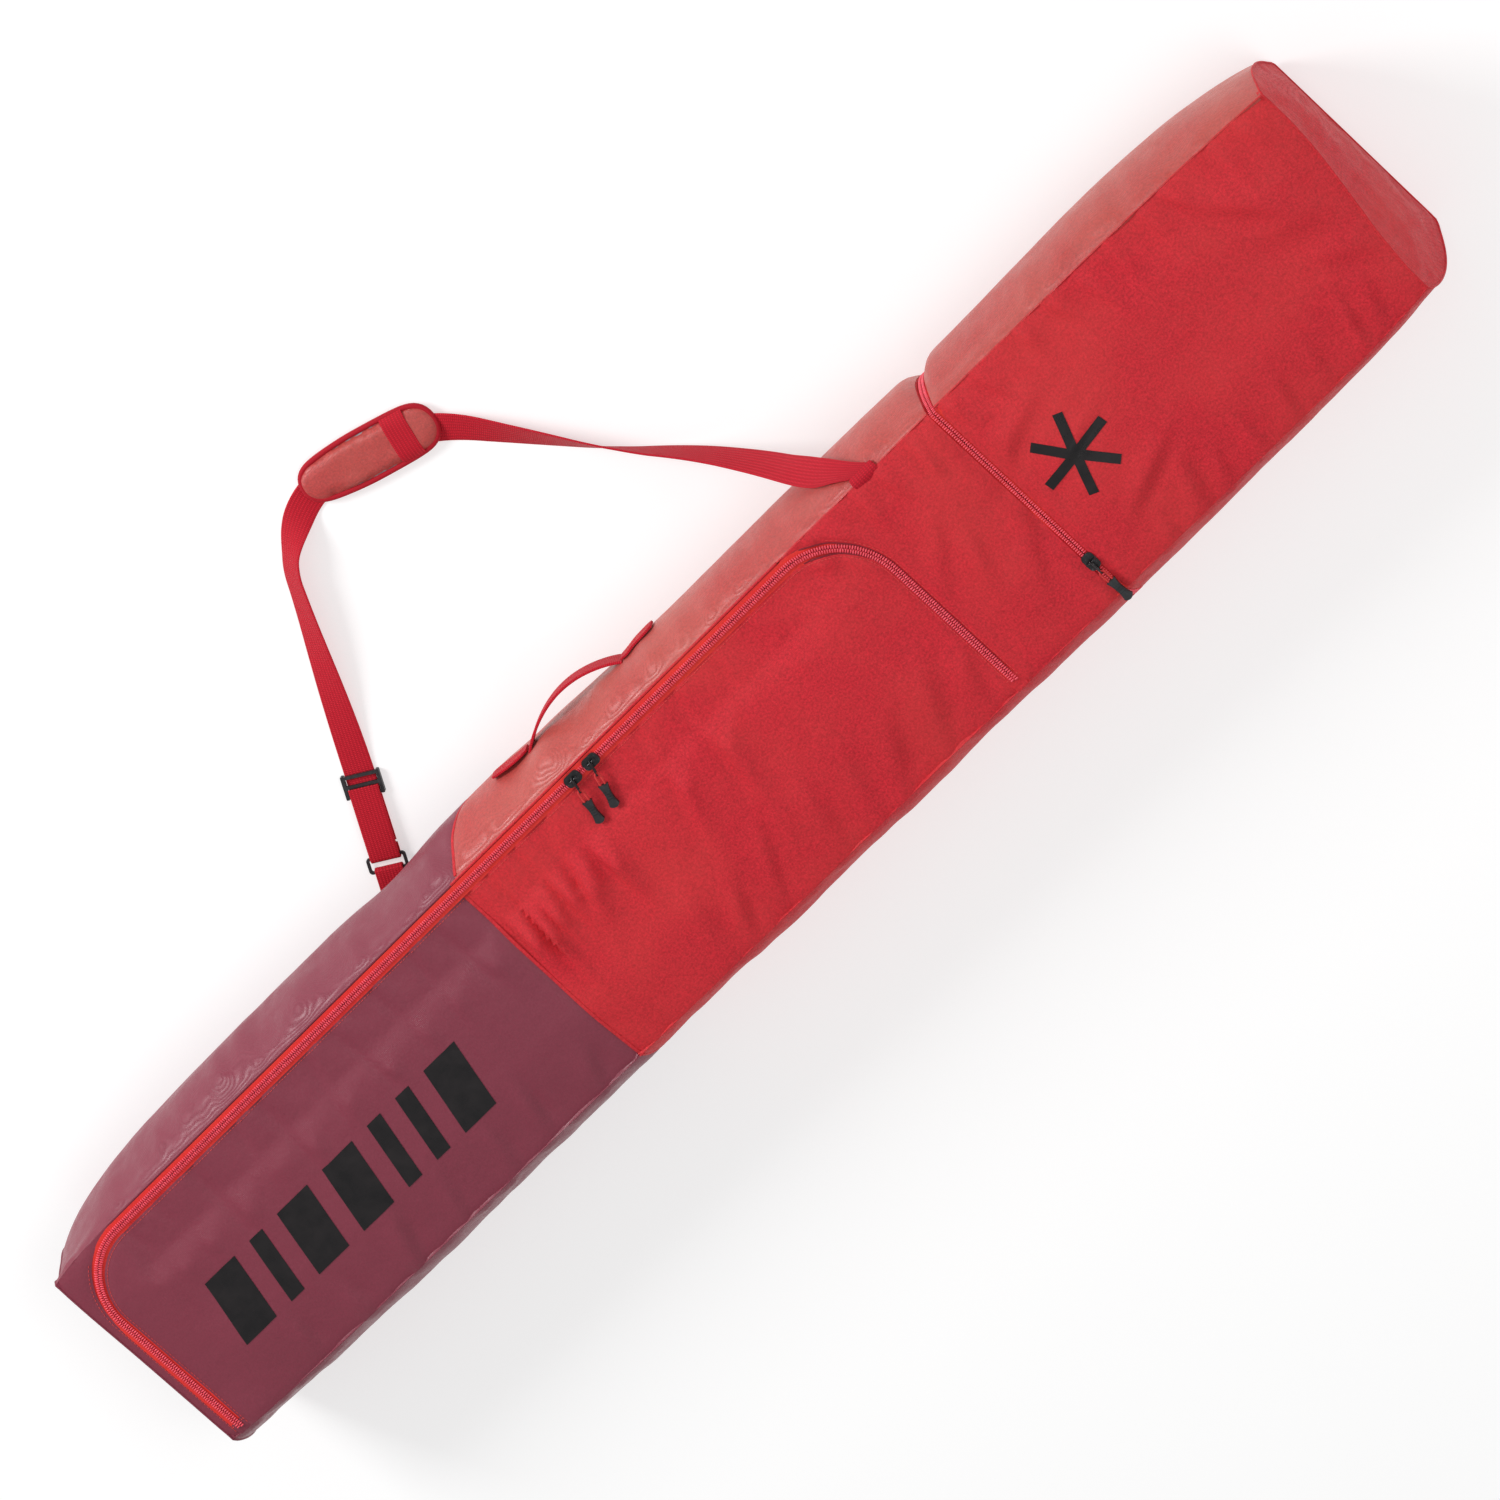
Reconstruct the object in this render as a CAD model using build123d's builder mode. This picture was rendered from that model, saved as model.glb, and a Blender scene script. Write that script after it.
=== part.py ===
"""Padded ski bag that zips open along one edge and grows in length.

The bag lies on its back.  X runs from the foot (-) to the head (+), +Y is the side with the carry
handle and the shoulder strap, Z is up.  The origin is the middle of the face that it rests on.
All sizes are in millimetres.
"""
from build123d import *
import math
import os

os.makedirs("parts", exist_ok=True)

# ---- the bag's shell ---------------------------------------------------------------------------
LENGTH = 1750.0          # foot to head with the girth zip closed
DEPTH = 158.0            # resting face to front face
SEAM_HALF = 130.0        # middle to the long seams of the front
BACK_HALF = 118.0        # middle to the long seams of the back
BULGE_HALF = 150.0       # middle to the fullest line of the side gussets
BULGE_Z = 70.0           # height of that line
WALL = 6.0               # padded wall: shell, foam and lining pressed together
GAP = 0.3                # clearance between pieces that move apart
X_FOOT = -LENGTH / 2
X_HEAD = LENGTH / 2
X_COLOUR = -265.0        # the burgundy cloth meets the red cloth here
Z_FRONT = DEPTH - WALL   # underside of the front panels
Z_SIDE_TOP = Z_FRONT - GAP

# ---- padding inside -----------------------------------------------------------------------------
FOAM_T = 6.0
LINING_T = 1.0
LID_MARGIN = 18.0        # from the main zip's middle line, and from the far seam, to the lid's foam
BACK_FOAM_HALF = 104.0   # middle to the long edges of the foam on the back
SKI_STRAP_X = {"ski_strap_foot": -520.0, "ski_strap_head": 120.0}
SKI_STRAP_HALF = (19.0, 98.0)
SKI_STRAP_T = 2.5

# ---- zips ---------------------------------------------------------------------------------------
X_FOOT_ZIP = -862.0      # middle of the main zip across the foot
Y_ZIP = 122.0            # middle of the main zip along the handle side
X_CROSS = 290.0          # middle of the main zip where it crosses the front
R_FOOT = 75.0            # corner of the main zip at the foot
R_CROSS = 78.0           # corner of the main zip at its upper end
Y_ZIP_END = -116.0       # both ends of the main zip
X_GIRTH = 430.0          # middle of the zip around the bag
TAPE_REACH = 8.0         # from a zip's middle to its tape's edge
COIL_NEAR = 0.8          # from a zip's middle to its coil
COIL_FAR = 4.1
TAPE_Z = 155.0           # underside of the tape of the main zip
TAPE_T = 1.4
COIL_T = 2.6
GIRTH_TAPE = (2.6, 4.0)  # depth of the girth zip's tape below the bag's outline
GIRTH_COIL = (1.0, 2.6)
EXPANSION_SPAN = (X_GIRTH - 30.0, X_GIRTH - 9.0)    # the gathered cloth inside the girth zip
EXPANSION_DEPTH = (WALL + 0.5, WALL + 3.5)

# ---- sliders and pulls --------------------------------------------------------------------------
SLIDER_LENGTH = 19.0
SLIDER_WIDTH = 13.0
PLATE_T = 1.8
CROWN_Z = 3.8            # height of the crown's bar above the slider's upper plate
CROWN_HALF = 4.6         # middle to each of the crown's posts
POST_SIZE = (2.2, 2.4)
BAR_R = 1.0
LOOP_R = 2.2             # centre line of the wire loop's ends
WIRE_R = 0.75
LOOP_REACH = 13.0        # from the crown's bar to the loop's far end
CORD_R = 1.2
CORD_BEND = 2.6
TAB_START = 26.0
TAB_LENGTH = 27.0
TAB_T = 4.0
PULL_DROP = 4.6          # degrees that a pull on the main zip slopes down to the lid
GIRTH_PULL_DROP = 2.4

# ---- straps -------------------------------------------------------------------------------------
WEB_WIDTH = 32.0
WEB_T = 2.2
WEB_Z = 1.5              # middle of the webbing that lies on the floor
RING_BAR = Vector(-345, 175, 5.2)
SEAM_ANCHOR = Vector(338, 152, 146)
UPPER_ROUTE = [
    (-37, 471, WEB_Z), (31, 451, WEB_Z), (93, 380, WEB_Z), (145, 305, WEB_Z), (196, 252, WEB_Z),
    (246, 220, 9), (288, 200, 32), (318, 191, 72), (334, 178, 118), (338, 152, 146),
]
LOWER_ROUTE = [(-37, 471, WEB_Z), (-105, 491, WEB_Z), (-172, 462, WEB_Z), (-338, 187, WEB_Z)]
PAD_MIDDLE = Vector(-37, 471, 0)
PAD_LENGTH = 160.0
PAD_WIDTH = 54.0
PAD_T = 11.0
GLIDE_REST = 80.0        # from the ring's bar to the tri-glide, along the webbing
HANDLE_SPAN = (-122.0, 14.0)
HANDLE_Z = 95.0
HANDLE_WIDTH = 25.0
HANDLE_T = 2.4
HANDLE_ROOT = BULGE_HALF + 12.0     # middle to the outer face of the handle at its ends
HANDLE_CREST = BULGE_HALF + 36.0


def save(piece, label):
    """Name a finished piece and write it to its own file."""
    piece.part.label = label
    export_step(piece.part, f"parts/{label}.step")


# ---- outlines -----------------------------------------------------------------------------------
def cross_section(inset, mode=Mode.ADD):
    """The bag's outline across X, drawn in by inset."""
    back, bulge, seam = (half - inset for half in (BACK_HALF, BULGE_HALF, SEAM_HALF))
    low, high = inset, DEPTH - inset
    with BuildLine() as edge:
        Line((-back, low), (back, low))
        ThreePointArc((back, low), (bulge, BULGE_Z), (seam, high))
        Line((seam, high), (-seam, high))
        ThreePointArc((-seam, high), (-bulge, BULGE_Z), (-back, low))
    make_face(edge.edges(), mode=mode)


def zip_area(grow, y_low, mode=Mode.ADD):
    """The area inside the main zip's middle line, grown outwards, down to y_low."""
    x0, x1, y1 = X_FOOT_ZIP - grow, X_CROSS + grow, Y_ZIP + grow
    r0, r1 = R_FOOT + grow, R_CROSS + grow
    with BuildLine() as edge:
        Line((x0, y_low), (x0, y1 - r0))
        CenterArc((x0 + r0, y1 - r0), r0, 180, -90)
        Line((x0 + r0, y1), (x1 - r1, y1))
        CenterArc((x1 - r1, y1 - r1), r1, 90, -90)
        Line((x1, y1 - r1), (x1, y_low))
        Line((x1, y_low), (x0, y_low))
    make_face(edge.edges(), mode=mode)


def window(x_span, y_span, mode=Mode.INTERSECT):
    """A rectangle from its two spans."""
    with Locations((sum(x_span) / 2, sum(y_span) / 2)):
        Rectangle(x_span[1] - x_span[0], y_span[1] - y_span[0], mode=mode)


# ---- walls of the bag ---------------------------------------------------------------------------
BACK_WINDOW = ((-BULGE_HALF, BULGE_HALF), (0, WALL))
HANDLE_WINDOW = ((0, BULGE_HALF + WALL), (WALL, Z_SIDE_TOP))
FAR_WINDOW = ((-BULGE_HALF - WALL, 0), (WALL, Z_SIDE_TOP))
FRONT_WINDOW = ((-BULGE_HALF, BULGE_HALF), (Z_FRONT, DEPTH))


def shell_piece(label, x_span, part_of, skin=(0.0, WALL)):
    """A length of the bag's wall: the part of its ring that a window leaves."""
    with BuildPart() as piece:
        with BuildSketch(Plane.YZ.offset(x_span[0])):
            cross_section(skin[0])
            cross_section(skin[1], Mode.SUBTRACT)
            window(*part_of)
        extrude(amount=x_span[1] - x_span[0])
    save(piece, label)


def end_panel(label, x_low, z_high):
    """A flat panel that closes one end of the bag."""
    with BuildPart() as piece:
        with BuildSketch(Plane.YZ.offset(x_low)):
            cross_section(0)
            window((-BULGE_HALF, BULGE_HALF), (0, z_high))
        extrude(amount=WALL)
    save(piece, label)


def sheet(label, x_span, y_span, z_span, corner=10.0):
    """A flat layer such as a foam pad or a lining."""
    with BuildPart() as piece:
        with BuildSketch(Plane.XY.offset(z_span[0])):
            with Locations((sum(x_span) / 2, sum(y_span) / 2)):
                RectangleRounded(x_span[1] - x_span[0], y_span[1] - y_span[0], corner)
        extrude(amount=z_span[1] - z_span[0])
    save(piece, label)


def build_base_walls():
    """The long lower part of the shell, from the foot to the girth zip."""
    start, end = X_FOOT + WALL, X_GIRTH - TAPE_REACH
    shell_piece("back_panel", (start, end), BACK_WINDOW)
    for side, part_of in (("handle", HANDLE_WINDOW), ("far", FAR_WINDOW)):
        shell_piece(f"{side}_gusset_burgundy", (start, X_COLOUR), part_of)
        shell_piece(f"{side}_gusset_red", (X_COLOUR, end), part_of)
    end_panel("foot_end_panel", X_FOOT, Z_SIDE_TOP)
    front_frame("foot_front_strip", (X_FOOT, X_FOOT_ZIP + R_FOOT))
    front_frame("bridge_panel", (X_CROSS - R_CROSS, end))
    with BuildPart() as binding:
        with BuildSketch(Plane.XY.offset(Z_SIDE_TOP)):
            window((X_FOOT_ZIP + R_FOOT, X_CROSS - R_CROSS), (SEAM_HALF - WALL, SEAM_HALF), Mode.ADD)
        extrude(amount=TAPE_Z - Z_SIDE_TOP)
    save(binding, "zip_edge_binding")


def front_frame(label, x_span):
    """A fixed piece of the front, cut away where the lid and its zip lie."""
    with BuildPart() as piece:
        with BuildSketch(Plane.XY.offset(Z_FRONT)):
            window(x_span, (-SEAM_HALF, SEAM_HALF), Mode.ADD)
            zip_area(TAPE_REACH, -SEAM_HALF, Mode.SUBTRACT)
        extrude(amount=WALL)
    save(piece, label)


def build_head_walls():
    """The short upper part of the shell, which pulls out to lengthen the bag."""
    span = (X_GIRTH + TAPE_REACH, X_HEAD - WALL)
    shell_piece("head_back_panel", span, BACK_WINDOW)
    shell_piece("head_handle_gusset", span, HANDLE_WINDOW)
    shell_piece("head_far_gusset", span, FAR_WINDOW)
    shell_piece("head_front_panel", span, FRONT_WINDOW)
    end_panel("head_end_panel", X_HEAD - WALL, DEPTH)


def build_lid():
    """The flap that the main zip frees; it folds over along the far seam."""
    x_all = (X_FOOT_ZIP, X_CROSS)
    for label, x_span in (
        ("lid_panel_burgundy", (x_all[0], X_COLOUR)),
        ("lid_panel_red", (X_COLOUR, x_all[1])),
    ):
        with BuildPart() as piece:
            with BuildSketch(Plane.XY.offset(Z_FRONT + GAP)):
                zip_area(-TAPE_REACH, -SEAM_HALF)
                window(x_span, (-SEAM_HALF, SEAM_HALF))
            extrude(amount=WALL - GAP)
        save(piece, label)
    for label, top, thick in (
        ("lid_foam", Z_FRONT + GAP, FOAM_T),
        ("lid_lining", Z_FRONT + GAP - FOAM_T, LINING_T),
    ):
        with BuildPart() as piece:
            with BuildSketch(Plane.XY.offset(top - thick)):
                zip_area(-LID_MARGIN, LID_MARGIN - SEAM_HALF)
            extrude(amount=thick)
        save(piece, label)


def build_padding():
    """Foam and lining on the back, and the two straps that hold the skis down."""
    foam_top = WALL + FOAM_T
    lining_top = foam_top + LINING_T
    across = (-BACK_FOAM_HALF, BACK_FOAM_HALF)
    for part, x_span in (
        ("back", (X_FOOT + 14, X_GIRTH - 34)),
        ("head", (X_GIRTH + 12, X_HEAD - 12)),
    ):
        sheet(f"{part}_foam", x_span, across, (WALL, foam_top))
        sheet(f"{part}_lining", x_span, across, (foam_top, lining_top))
    half_width, half_reach = SKI_STRAP_HALF
    for label, x in SKI_STRAP_X.items():
        x_span = (x - half_width, x + half_width)
        sheet(label, x_span, (-half_reach, half_reach), (lining_top, lining_top + SKI_STRAP_T), corner=4.0)


# ---- zips ---------------------------------------------------------------------------------------
def main_zip_band(label, reach, z_low, thick):
    """A band that follows the main zip at a distance from its middle line."""
    with BuildPart() as piece:
        with BuildSketch(Plane.XY.offset(z_low)):
            zip_area(max(reach), Y_ZIP_END)
            zip_area(min(reach), Y_ZIP_END, Mode.SUBTRACT)
        extrude(amount=thick)
    save(piece, label)


def girth_zip_ring(label, x_span, skin):
    """A ring around the bag."""
    with BuildPart() as piece:
        with BuildSketch(Plane.YZ.offset(x_span[0])):
            cross_section(skin[0])
            cross_section(skin[1], Mode.SUBTRACT)
        extrude(amount=x_span[1] - x_span[0])
    save(piece, label)


def build_zips():
    """Tapes and coils: each zip has a half on either side of its middle."""
    for side, sign in (("lid", -1), ("base", 1)):
        tape = (sign * COIL_NEAR, sign * TAPE_REACH)
        coil = (sign * COIL_NEAR, sign * COIL_FAR)
        main_zip_band(f"main_zip_tape_{side}", tape, TAPE_Z, TAPE_T)
        main_zip_band(f"main_zip_coil_{side}", coil, TAPE_Z + TAPE_T, COIL_T)
    for side, sign in (("base", -1), ("head", 1)):
        tape = sorted(X_GIRTH + sign * reach for reach in (COIL_NEAR, TAPE_REACH))
        coil = sorted(X_GIRTH + sign * reach for reach in (COIL_NEAR, COIL_FAR))
        girth_zip_ring(f"girth_zip_tape_{side}", tape, GIRTH_TAPE)
        girth_zip_ring(f"girth_zip_coil_{side}", coil, GIRTH_COIL)
    girth_zip_ring("expansion_gusset", EXPANSION_SPAN, EXPANSION_DEPTH)


def build_slider(label, middle, travel, chain_top, tape_t, crown_along_travel):
    """A zip slider that grips one half of its chain and reaches over the other.

    middle lies on the zip's middle line, level with the underside of its coil.  The gripped half of
    the chain is on the right of travel, which is -Y of the slider's own frame.
    """
    frame = Plane(origin=middle, x_dir=travel, z_dir=(0, 0, 1))
    top = chain_top + GAP
    bottom = -tape_t - GAP
    half = SLIDER_WIDTH / 2
    with BuildPart() as piece:
        with BuildSketch(frame.offset(top)):
            RectangleRounded(SLIDER_LENGTH, SLIDER_WIDTH, 4.5)
        extrude(amount=PLATE_T)
        with BuildSketch(frame.offset(bottom - PLATE_T)):
            window((-SLIDER_LENGTH / 2 + 2, SLIDER_LENGTH / 2 - 2), (-half, COIL_NEAR - GAP), Mode.ADD)
        extrude(amount=PLATE_T)
        with BuildSketch(frame.offset(bottom - PLATE_T)):
            post = COIL_NEAR - GAP
            window((3, SLIDER_LENGTH / 2 - 2), (-post, post), Mode.ADD)
        extrude(amount=top - bottom + 2 * PLATE_T)
        with BuildSketch(frame.offset(GAP)):
            window((-SLIDER_LENGTH / 2 + 4, SLIDER_LENGTH / 2 - 4), (-half, -COIL_FAR - GAP), Mode.ADD)
        extrude(amount=top + PLATE_T - GAP)
        # the crown: two posts and the bar that the wire loop hangs on
        turned = frame.rotated((0, 0, 0 if crown_along_travel else 90))
        bar_z = top + PLATE_T + CROWN_Z
        with BuildSketch(turned.offset(top + PLATE_T)):
            with Locations((-CROWN_HALF, 0), (CROWN_HALF, 0)):
                Rectangle(*POST_SIZE)
        extrude(amount=CROWN_Z + BAR_R)
        bar = Plane(origin=middle + Vector(0, 0, bar_z), z_dir=turned.x_dir)
        with BuildSketch(bar):
            Circle(BAR_R)
        extrude(amount=CROWN_HALF + 0.4, both=True)
    save(piece, label)
    return middle + Vector(0, 0, bar_z)


def build_pull(name, bar_middle, heading, drop):
    """Wire loop, cord and ribbed tab, resting on the cloth in the direction of heading."""
    slope = math.radians(drop)
    flat = Vector(heading[0], heading[1], 0).normalized()
    along = flat * math.cos(slope) - Vector(0, 0, math.sin(slope))
    across = Vector(0, 0, 1).cross(flat)
    lying = Plane(origin=bar_middle, x_dir=along, z_dir=along.cross(across))
    standing = Plane(origin=bar_middle, x_dir=along, z_dir=across)

    with BuildPart() as loop:
        with BuildLine(standing):
            Line((0, LOOP_R), (LOOP_REACH, LOOP_R))
            CenterArc((LOOP_REACH, 0), LOOP_R, 90, -180)
            Line((LOOP_REACH, -LOOP_R), (0, -LOOP_R))
            CenterArc((0, 0), LOOP_R, -90, -180)
        start = standing.origin + standing.y_dir * LOOP_R
        with BuildSketch(Plane(origin=start, z_dir=standing.x_dir)):
            Circle(WIRE_R)
        sweep()
    save(loop, f"{name}_pull_loop")

    bend = LOOP_REACH + CORD_BEND
    with BuildPart() as cord:
        with BuildLine(lying):
            Line((TAB_START, CORD_BEND), (bend, CORD_BEND))
            CenterArc((bend, 0), CORD_BEND, 90, 180)
            Line((bend, -CORD_BEND), (TAB_START, -CORD_BEND))
        start = lying.origin + lying.x_dir * TAB_START + lying.y_dir * CORD_BEND
        with BuildSketch(Plane(origin=start, z_dir=-lying.x_dir)):
            Circle(CORD_R)
        sweep()
    save(cord, f"{name}_pull_cord")

    wide, waist = 5.4, 3.6
    end = TAB_START + TAB_LENGTH
    middle = (TAB_START + end) / 2
    with BuildPart() as tab:
        with BuildSketch(lying.offset(-TAB_T / 2)):
            with BuildLine():
                Line((TAB_START, -wide), (TAB_START, wide))
                ThreePointArc((TAB_START, wide), (middle, waist), (end - 3, wide))
                ThreePointArc((end - 3, wide), (end, 0), (end - 3, -wide))
                ThreePointArc((end - 3, -wide), (middle, -waist), (TAB_START, -wide))
            make_face()
        extrude(amount=TAB_T)
        with BuildSketch(lying.offset(TAB_T / 2)):
            with Locations(*[(middle + step, 0) for step in (-4.5, -1.5, 1.5, 4.5)]):
                Rectangle(1.3, 2 * waist - 1)
        extrude(amount=0.7)
    save(tab, f"{name}_pull_tab")


def build_sliders():
    """Two sliders nose to nose on the main zip and one on the girth zip."""
    coil_foot = TAPE_Z + TAPE_T
    for name, x, lean in (("foot", -92.0, -0.26), ("head", -66.0, -0.34)):
        bar = build_slider(
            f"{name}_slider", Vector(x, Y_ZIP, coil_foot), (1, 0, 0), COIL_T, TAPE_T, True
        )
        build_pull(name, bar, (lean, -1), PULL_DROP)
    girth_foot = Vector(X_GIRTH, -84.0, DEPTH - GIRTH_COIL[1])
    girth_coil_t = GIRTH_COIL[1] - GIRTH_COIL[0]
    girth_tape_t = GIRTH_TAPE[1] - GIRTH_TAPE[0]
    bar = build_slider("girth_slider", girth_foot, (0, -1, 0), girth_coil_t, girth_tape_t, False)
    build_pull("girth", bar, (0.02, -1), GIRTH_PULL_DROP)


# ---- carry handle -------------------------------------------------------------------------------
def build_handle():
    """A flat webbing arch on the side gusset and the two patches that it is sewn to."""
    x0, x1 = HANDLE_SPAN
    root, crest = HANDLE_ROOT, HANDLE_CREST
    middle = (x0 + x1) / 2
    with BuildPart() as arch:
        with BuildSketch(Plane.XY.offset(HANDLE_Z - HANDLE_WIDTH / 2)):
            with BuildLine():
                ThreePointArc((x0, root), (middle, crest), (x1, root))
                Line((x1, root), (x1, root - HANDLE_T))
                inner = root - HANDLE_T
                ThreePointArc((x1, inner), (middle, crest - HANDLE_T), (x0, inner))
                Line((x0, root - HANDLE_T), (x0, root))
            make_face()
        extrude(amount=HANDLE_WIDTH)
    save(arch, "carry_handle")
    patch_length, patch_half, patch_t = 46.0, 15.0, 2.5
    patch = ((0, BULGE_HALF + WALL), (HANDLE_Z - patch_half, HANDLE_Z + patch_half))
    shell_piece("handle_patch_foot", (x0 - 1 - patch_length, x0 - 1), patch, skin=(-patch_t, 0.0))
    shell_piece("handle_patch_head", (x1 + 1, x1 + 1 + patch_length), patch, skin=(-patch_t, 0.0))


# ---- shoulder strap -----------------------------------------------------------------------------
def bend_radii(route):
    """The largest arc at each inner point that its two runs allow."""
    points = [Vector(*point) for point in route]
    radii = []
    for before, here, after in zip(points, points[1:], points[2:]):
        run_in, run_out = here - before, after - here
        half_turn = math.radians(run_in.get_angle(run_out)) / 2
        radii.append(0.45 * min(run_in.length, run_out.length) / math.tan(half_turn))
    return radii


def build_webbing(label, route):
    """Flat webbing along a route of runs and arcs that starts level on the floor."""
    radii = bend_radii(route)
    first = Vector(*route[1]) - Vector(*route[0])
    level = Vector(0, 0, 1).cross(first)
    with BuildPart() as piece:
        with BuildLine() as path:
            FilletPolyline(*route, radius=radii)
        with BuildSketch(Plane(origin=route[0], x_dir=level, z_dir=first)):
            Rectangle(WEB_WIDTH, WEB_T)
        sweep()
    save(piece, label)
    length = sum(edge.length for edge in path.edges())
    expected = WEB_WIDTH * WEB_T * length
    print(label, "radii", [round(radius) for radius in radii], "length", round(length))
    print(label, "volume over section times length", round(piece.part.volume / expected, 4))


def webbing_loop(label, bar, heading, tails, width, bar_gap):
    """A loop of webbing around a bar: two tails along heading joined by a half turn behind it.

    tails are the lengths of the lower and the upper tail.
    """
    side = Plane(origin=bar, x_dir=heading, z_dir=heading.cross(Vector(0, 0, 1)))
    outer = bar_gap + WEB_T
    with BuildPart() as piece:
        with BuildSketch(side):
            with BuildLine():
                Line((tails[0], -outer), (0, -outer))
                CenterArc((0, 0), outer, -90, -180)
                Line((0, outer), (tails[1], outer))
                Line((tails[1], outer), (tails[1], bar_gap))
                Line((tails[1], bar_gap), (0, bar_gap))
                CenterArc((0, 0), bar_gap, 90, 180)
                Line((0, -bar_gap), (tails[0], -bar_gap))
                Line((tails[0], -bar_gap), (tails[0], -outer))
            make_face()
        extrude(amount=width / 2, both=True)
    save(piece, label)


def build_ring_and_loops(along):
    """The rectangular ring, the loop that ties it to the bag and the strap's doubled end."""
    wire, reach, span = 3.2, 15.0, 39.0
    middle = RING_BAR - along * (reach / 2)
    flat = Plane(origin=middle, x_dir=along, z_dir=(0, 0, 1))
    with BuildPart() as ring:
        with BuildSketch(flat.offset(-wire / 2)):
            RectangleRounded(reach + wire, span + wire, 4.0)
            RectangleRounded(reach - wire, span - wire, 1.5, mode=Mode.SUBTRACT)
        extrude(amount=wire)
        chamfer(ring.edges(), 0.5)
    save(ring, "strap_ring")
    gap = 2.6
    webbing_loop("strap_return", RING_BAR, along, (11.0, 74.0), WEB_WIDTH, gap)
    inner_bar = RING_BAR - along * reach
    webbing_loop("ring_anchor", inner_bar, -along, (33.0, 33.0), WEB_WIDTH - 2, gap)


def build_tri_glide(along):
    """The sliding adjuster: a frame of two side bars and three cross bars over the webbing."""
    middle = RING_BAR + along * GLIDE_REST
    floor = Plane(origin=(middle.X, middle.Y, 0), x_dir=along, z_dir=(0, 0, 1))
    bar_low, bar_high, bar_width = WEB_Z + WEB_T / 2 + 0.4, 6.2, 3.4
    side, half = 3.6, WEB_WIDTH / 2 + 1.0
    with BuildPart() as glide:
        with BuildSketch(floor.offset(0.4)):
            with Locations((0, half + side / 2), (0, -half - side / 2)):
                RectangleRounded(26, side, 1.2)
        extrude(amount=bar_high - 0.4)
        with BuildSketch(floor.offset(bar_low)):
            with Locations((-10.6, 0), (0, 0), (10.6, 0)):
                Rectangle(bar_width, 2 * half + side)
        extrude(amount=bar_high - bar_low)
    save(glide, "tri_glide")


def build_pad():
    """The shoulder pad: a soft core in a cloth cover, with a band across it."""
    heading = Vector(68, -20, 0).normalized()
    low = WEB_Z + WEB_T / 2 + GAP
    floor = Plane(origin=(PAD_MIDDLE.X, PAD_MIDDLE.Y, low), x_dir=heading, z_dir=(0, 0, 1))
    skin = 1.5
    with BuildPart() as cover:
        with BuildSketch(floor):
            RectangleRounded(PAD_LENGTH, PAD_WIDTH, 22)
        extrude(amount=PAD_T)
        with BuildSketch(floor.offset(skin)):
            RectangleRounded(PAD_LENGTH - 2 * skin, PAD_WIDTH - 2 * skin, 21)
        extrude(amount=PAD_T - 2 * skin, mode=Mode.SUBTRACT)
    save(cover, "pad_cover")
    with BuildPart() as core:
        with BuildSketch(floor.offset(skin)):
            RectangleRounded(PAD_LENGTH - 2 * skin, PAD_WIDTH - 2 * skin, 21)
        extrude(amount=PAD_T - 2 * skin)
    save(core, "pad_core")
    with BuildPart() as band:
        with BuildSketch(floor.offset(PAD_T)):
            with Locations((PAD_LENGTH / 2 - 40, 0)):
                Rectangle(26, PAD_WIDTH - 8)
        extrude(amount=1.6)
    save(band, "pad_band")


def build_strap():
    """The shoulder strap and what it passes through."""
    build_webbing("strap_upper", UPPER_ROUTE)
    build_webbing("strap_lower", LOWER_ROUTE)
    run = Vector(*LOWER_ROUTE[2]) - Vector(*LOWER_ROUTE[3])
    along = Vector(run.X, run.Y, 0).normalized()
    build_ring_and_loops(along)
    build_tri_glide(along)
    build_pad()
    with BuildPart() as stub:
        with BuildSketch(Plane.XY.offset(DEPTH)):
            window((SEAM_ANCHOR.X - 17, SEAM_ANCHOR.X + 17), (SEAM_HALF - 26, SEAM_HALF + 6), Mode.ADD)
        extrude(amount=WEB_T)
    save(stub, "strap_seam_tab")
    swing = (SEAM_ANCHOR - RING_BAR).normalized()
    print("strap swing axis", [round(value, 5) for value in swing])
    print("tri-glide travel", [round(value, 5) for value in along])


build_base_walls()
build_head_walls()
build_lid()
build_padding()
build_zips()
build_sliders()
build_handle()
build_strap()
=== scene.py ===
"""The ski bag's visual model: soft shell, zips, straps and finishes on the CAD frame.

Metres, in the frame's own axes: X from the foot to the head, +Y the side with the handle and the
strap, Z up.
"""

import math

import bpy
import numpy as np
from mathutils import Matrix, Vector
from mathutils.geometry import delaunay_2d_cdt


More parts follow.
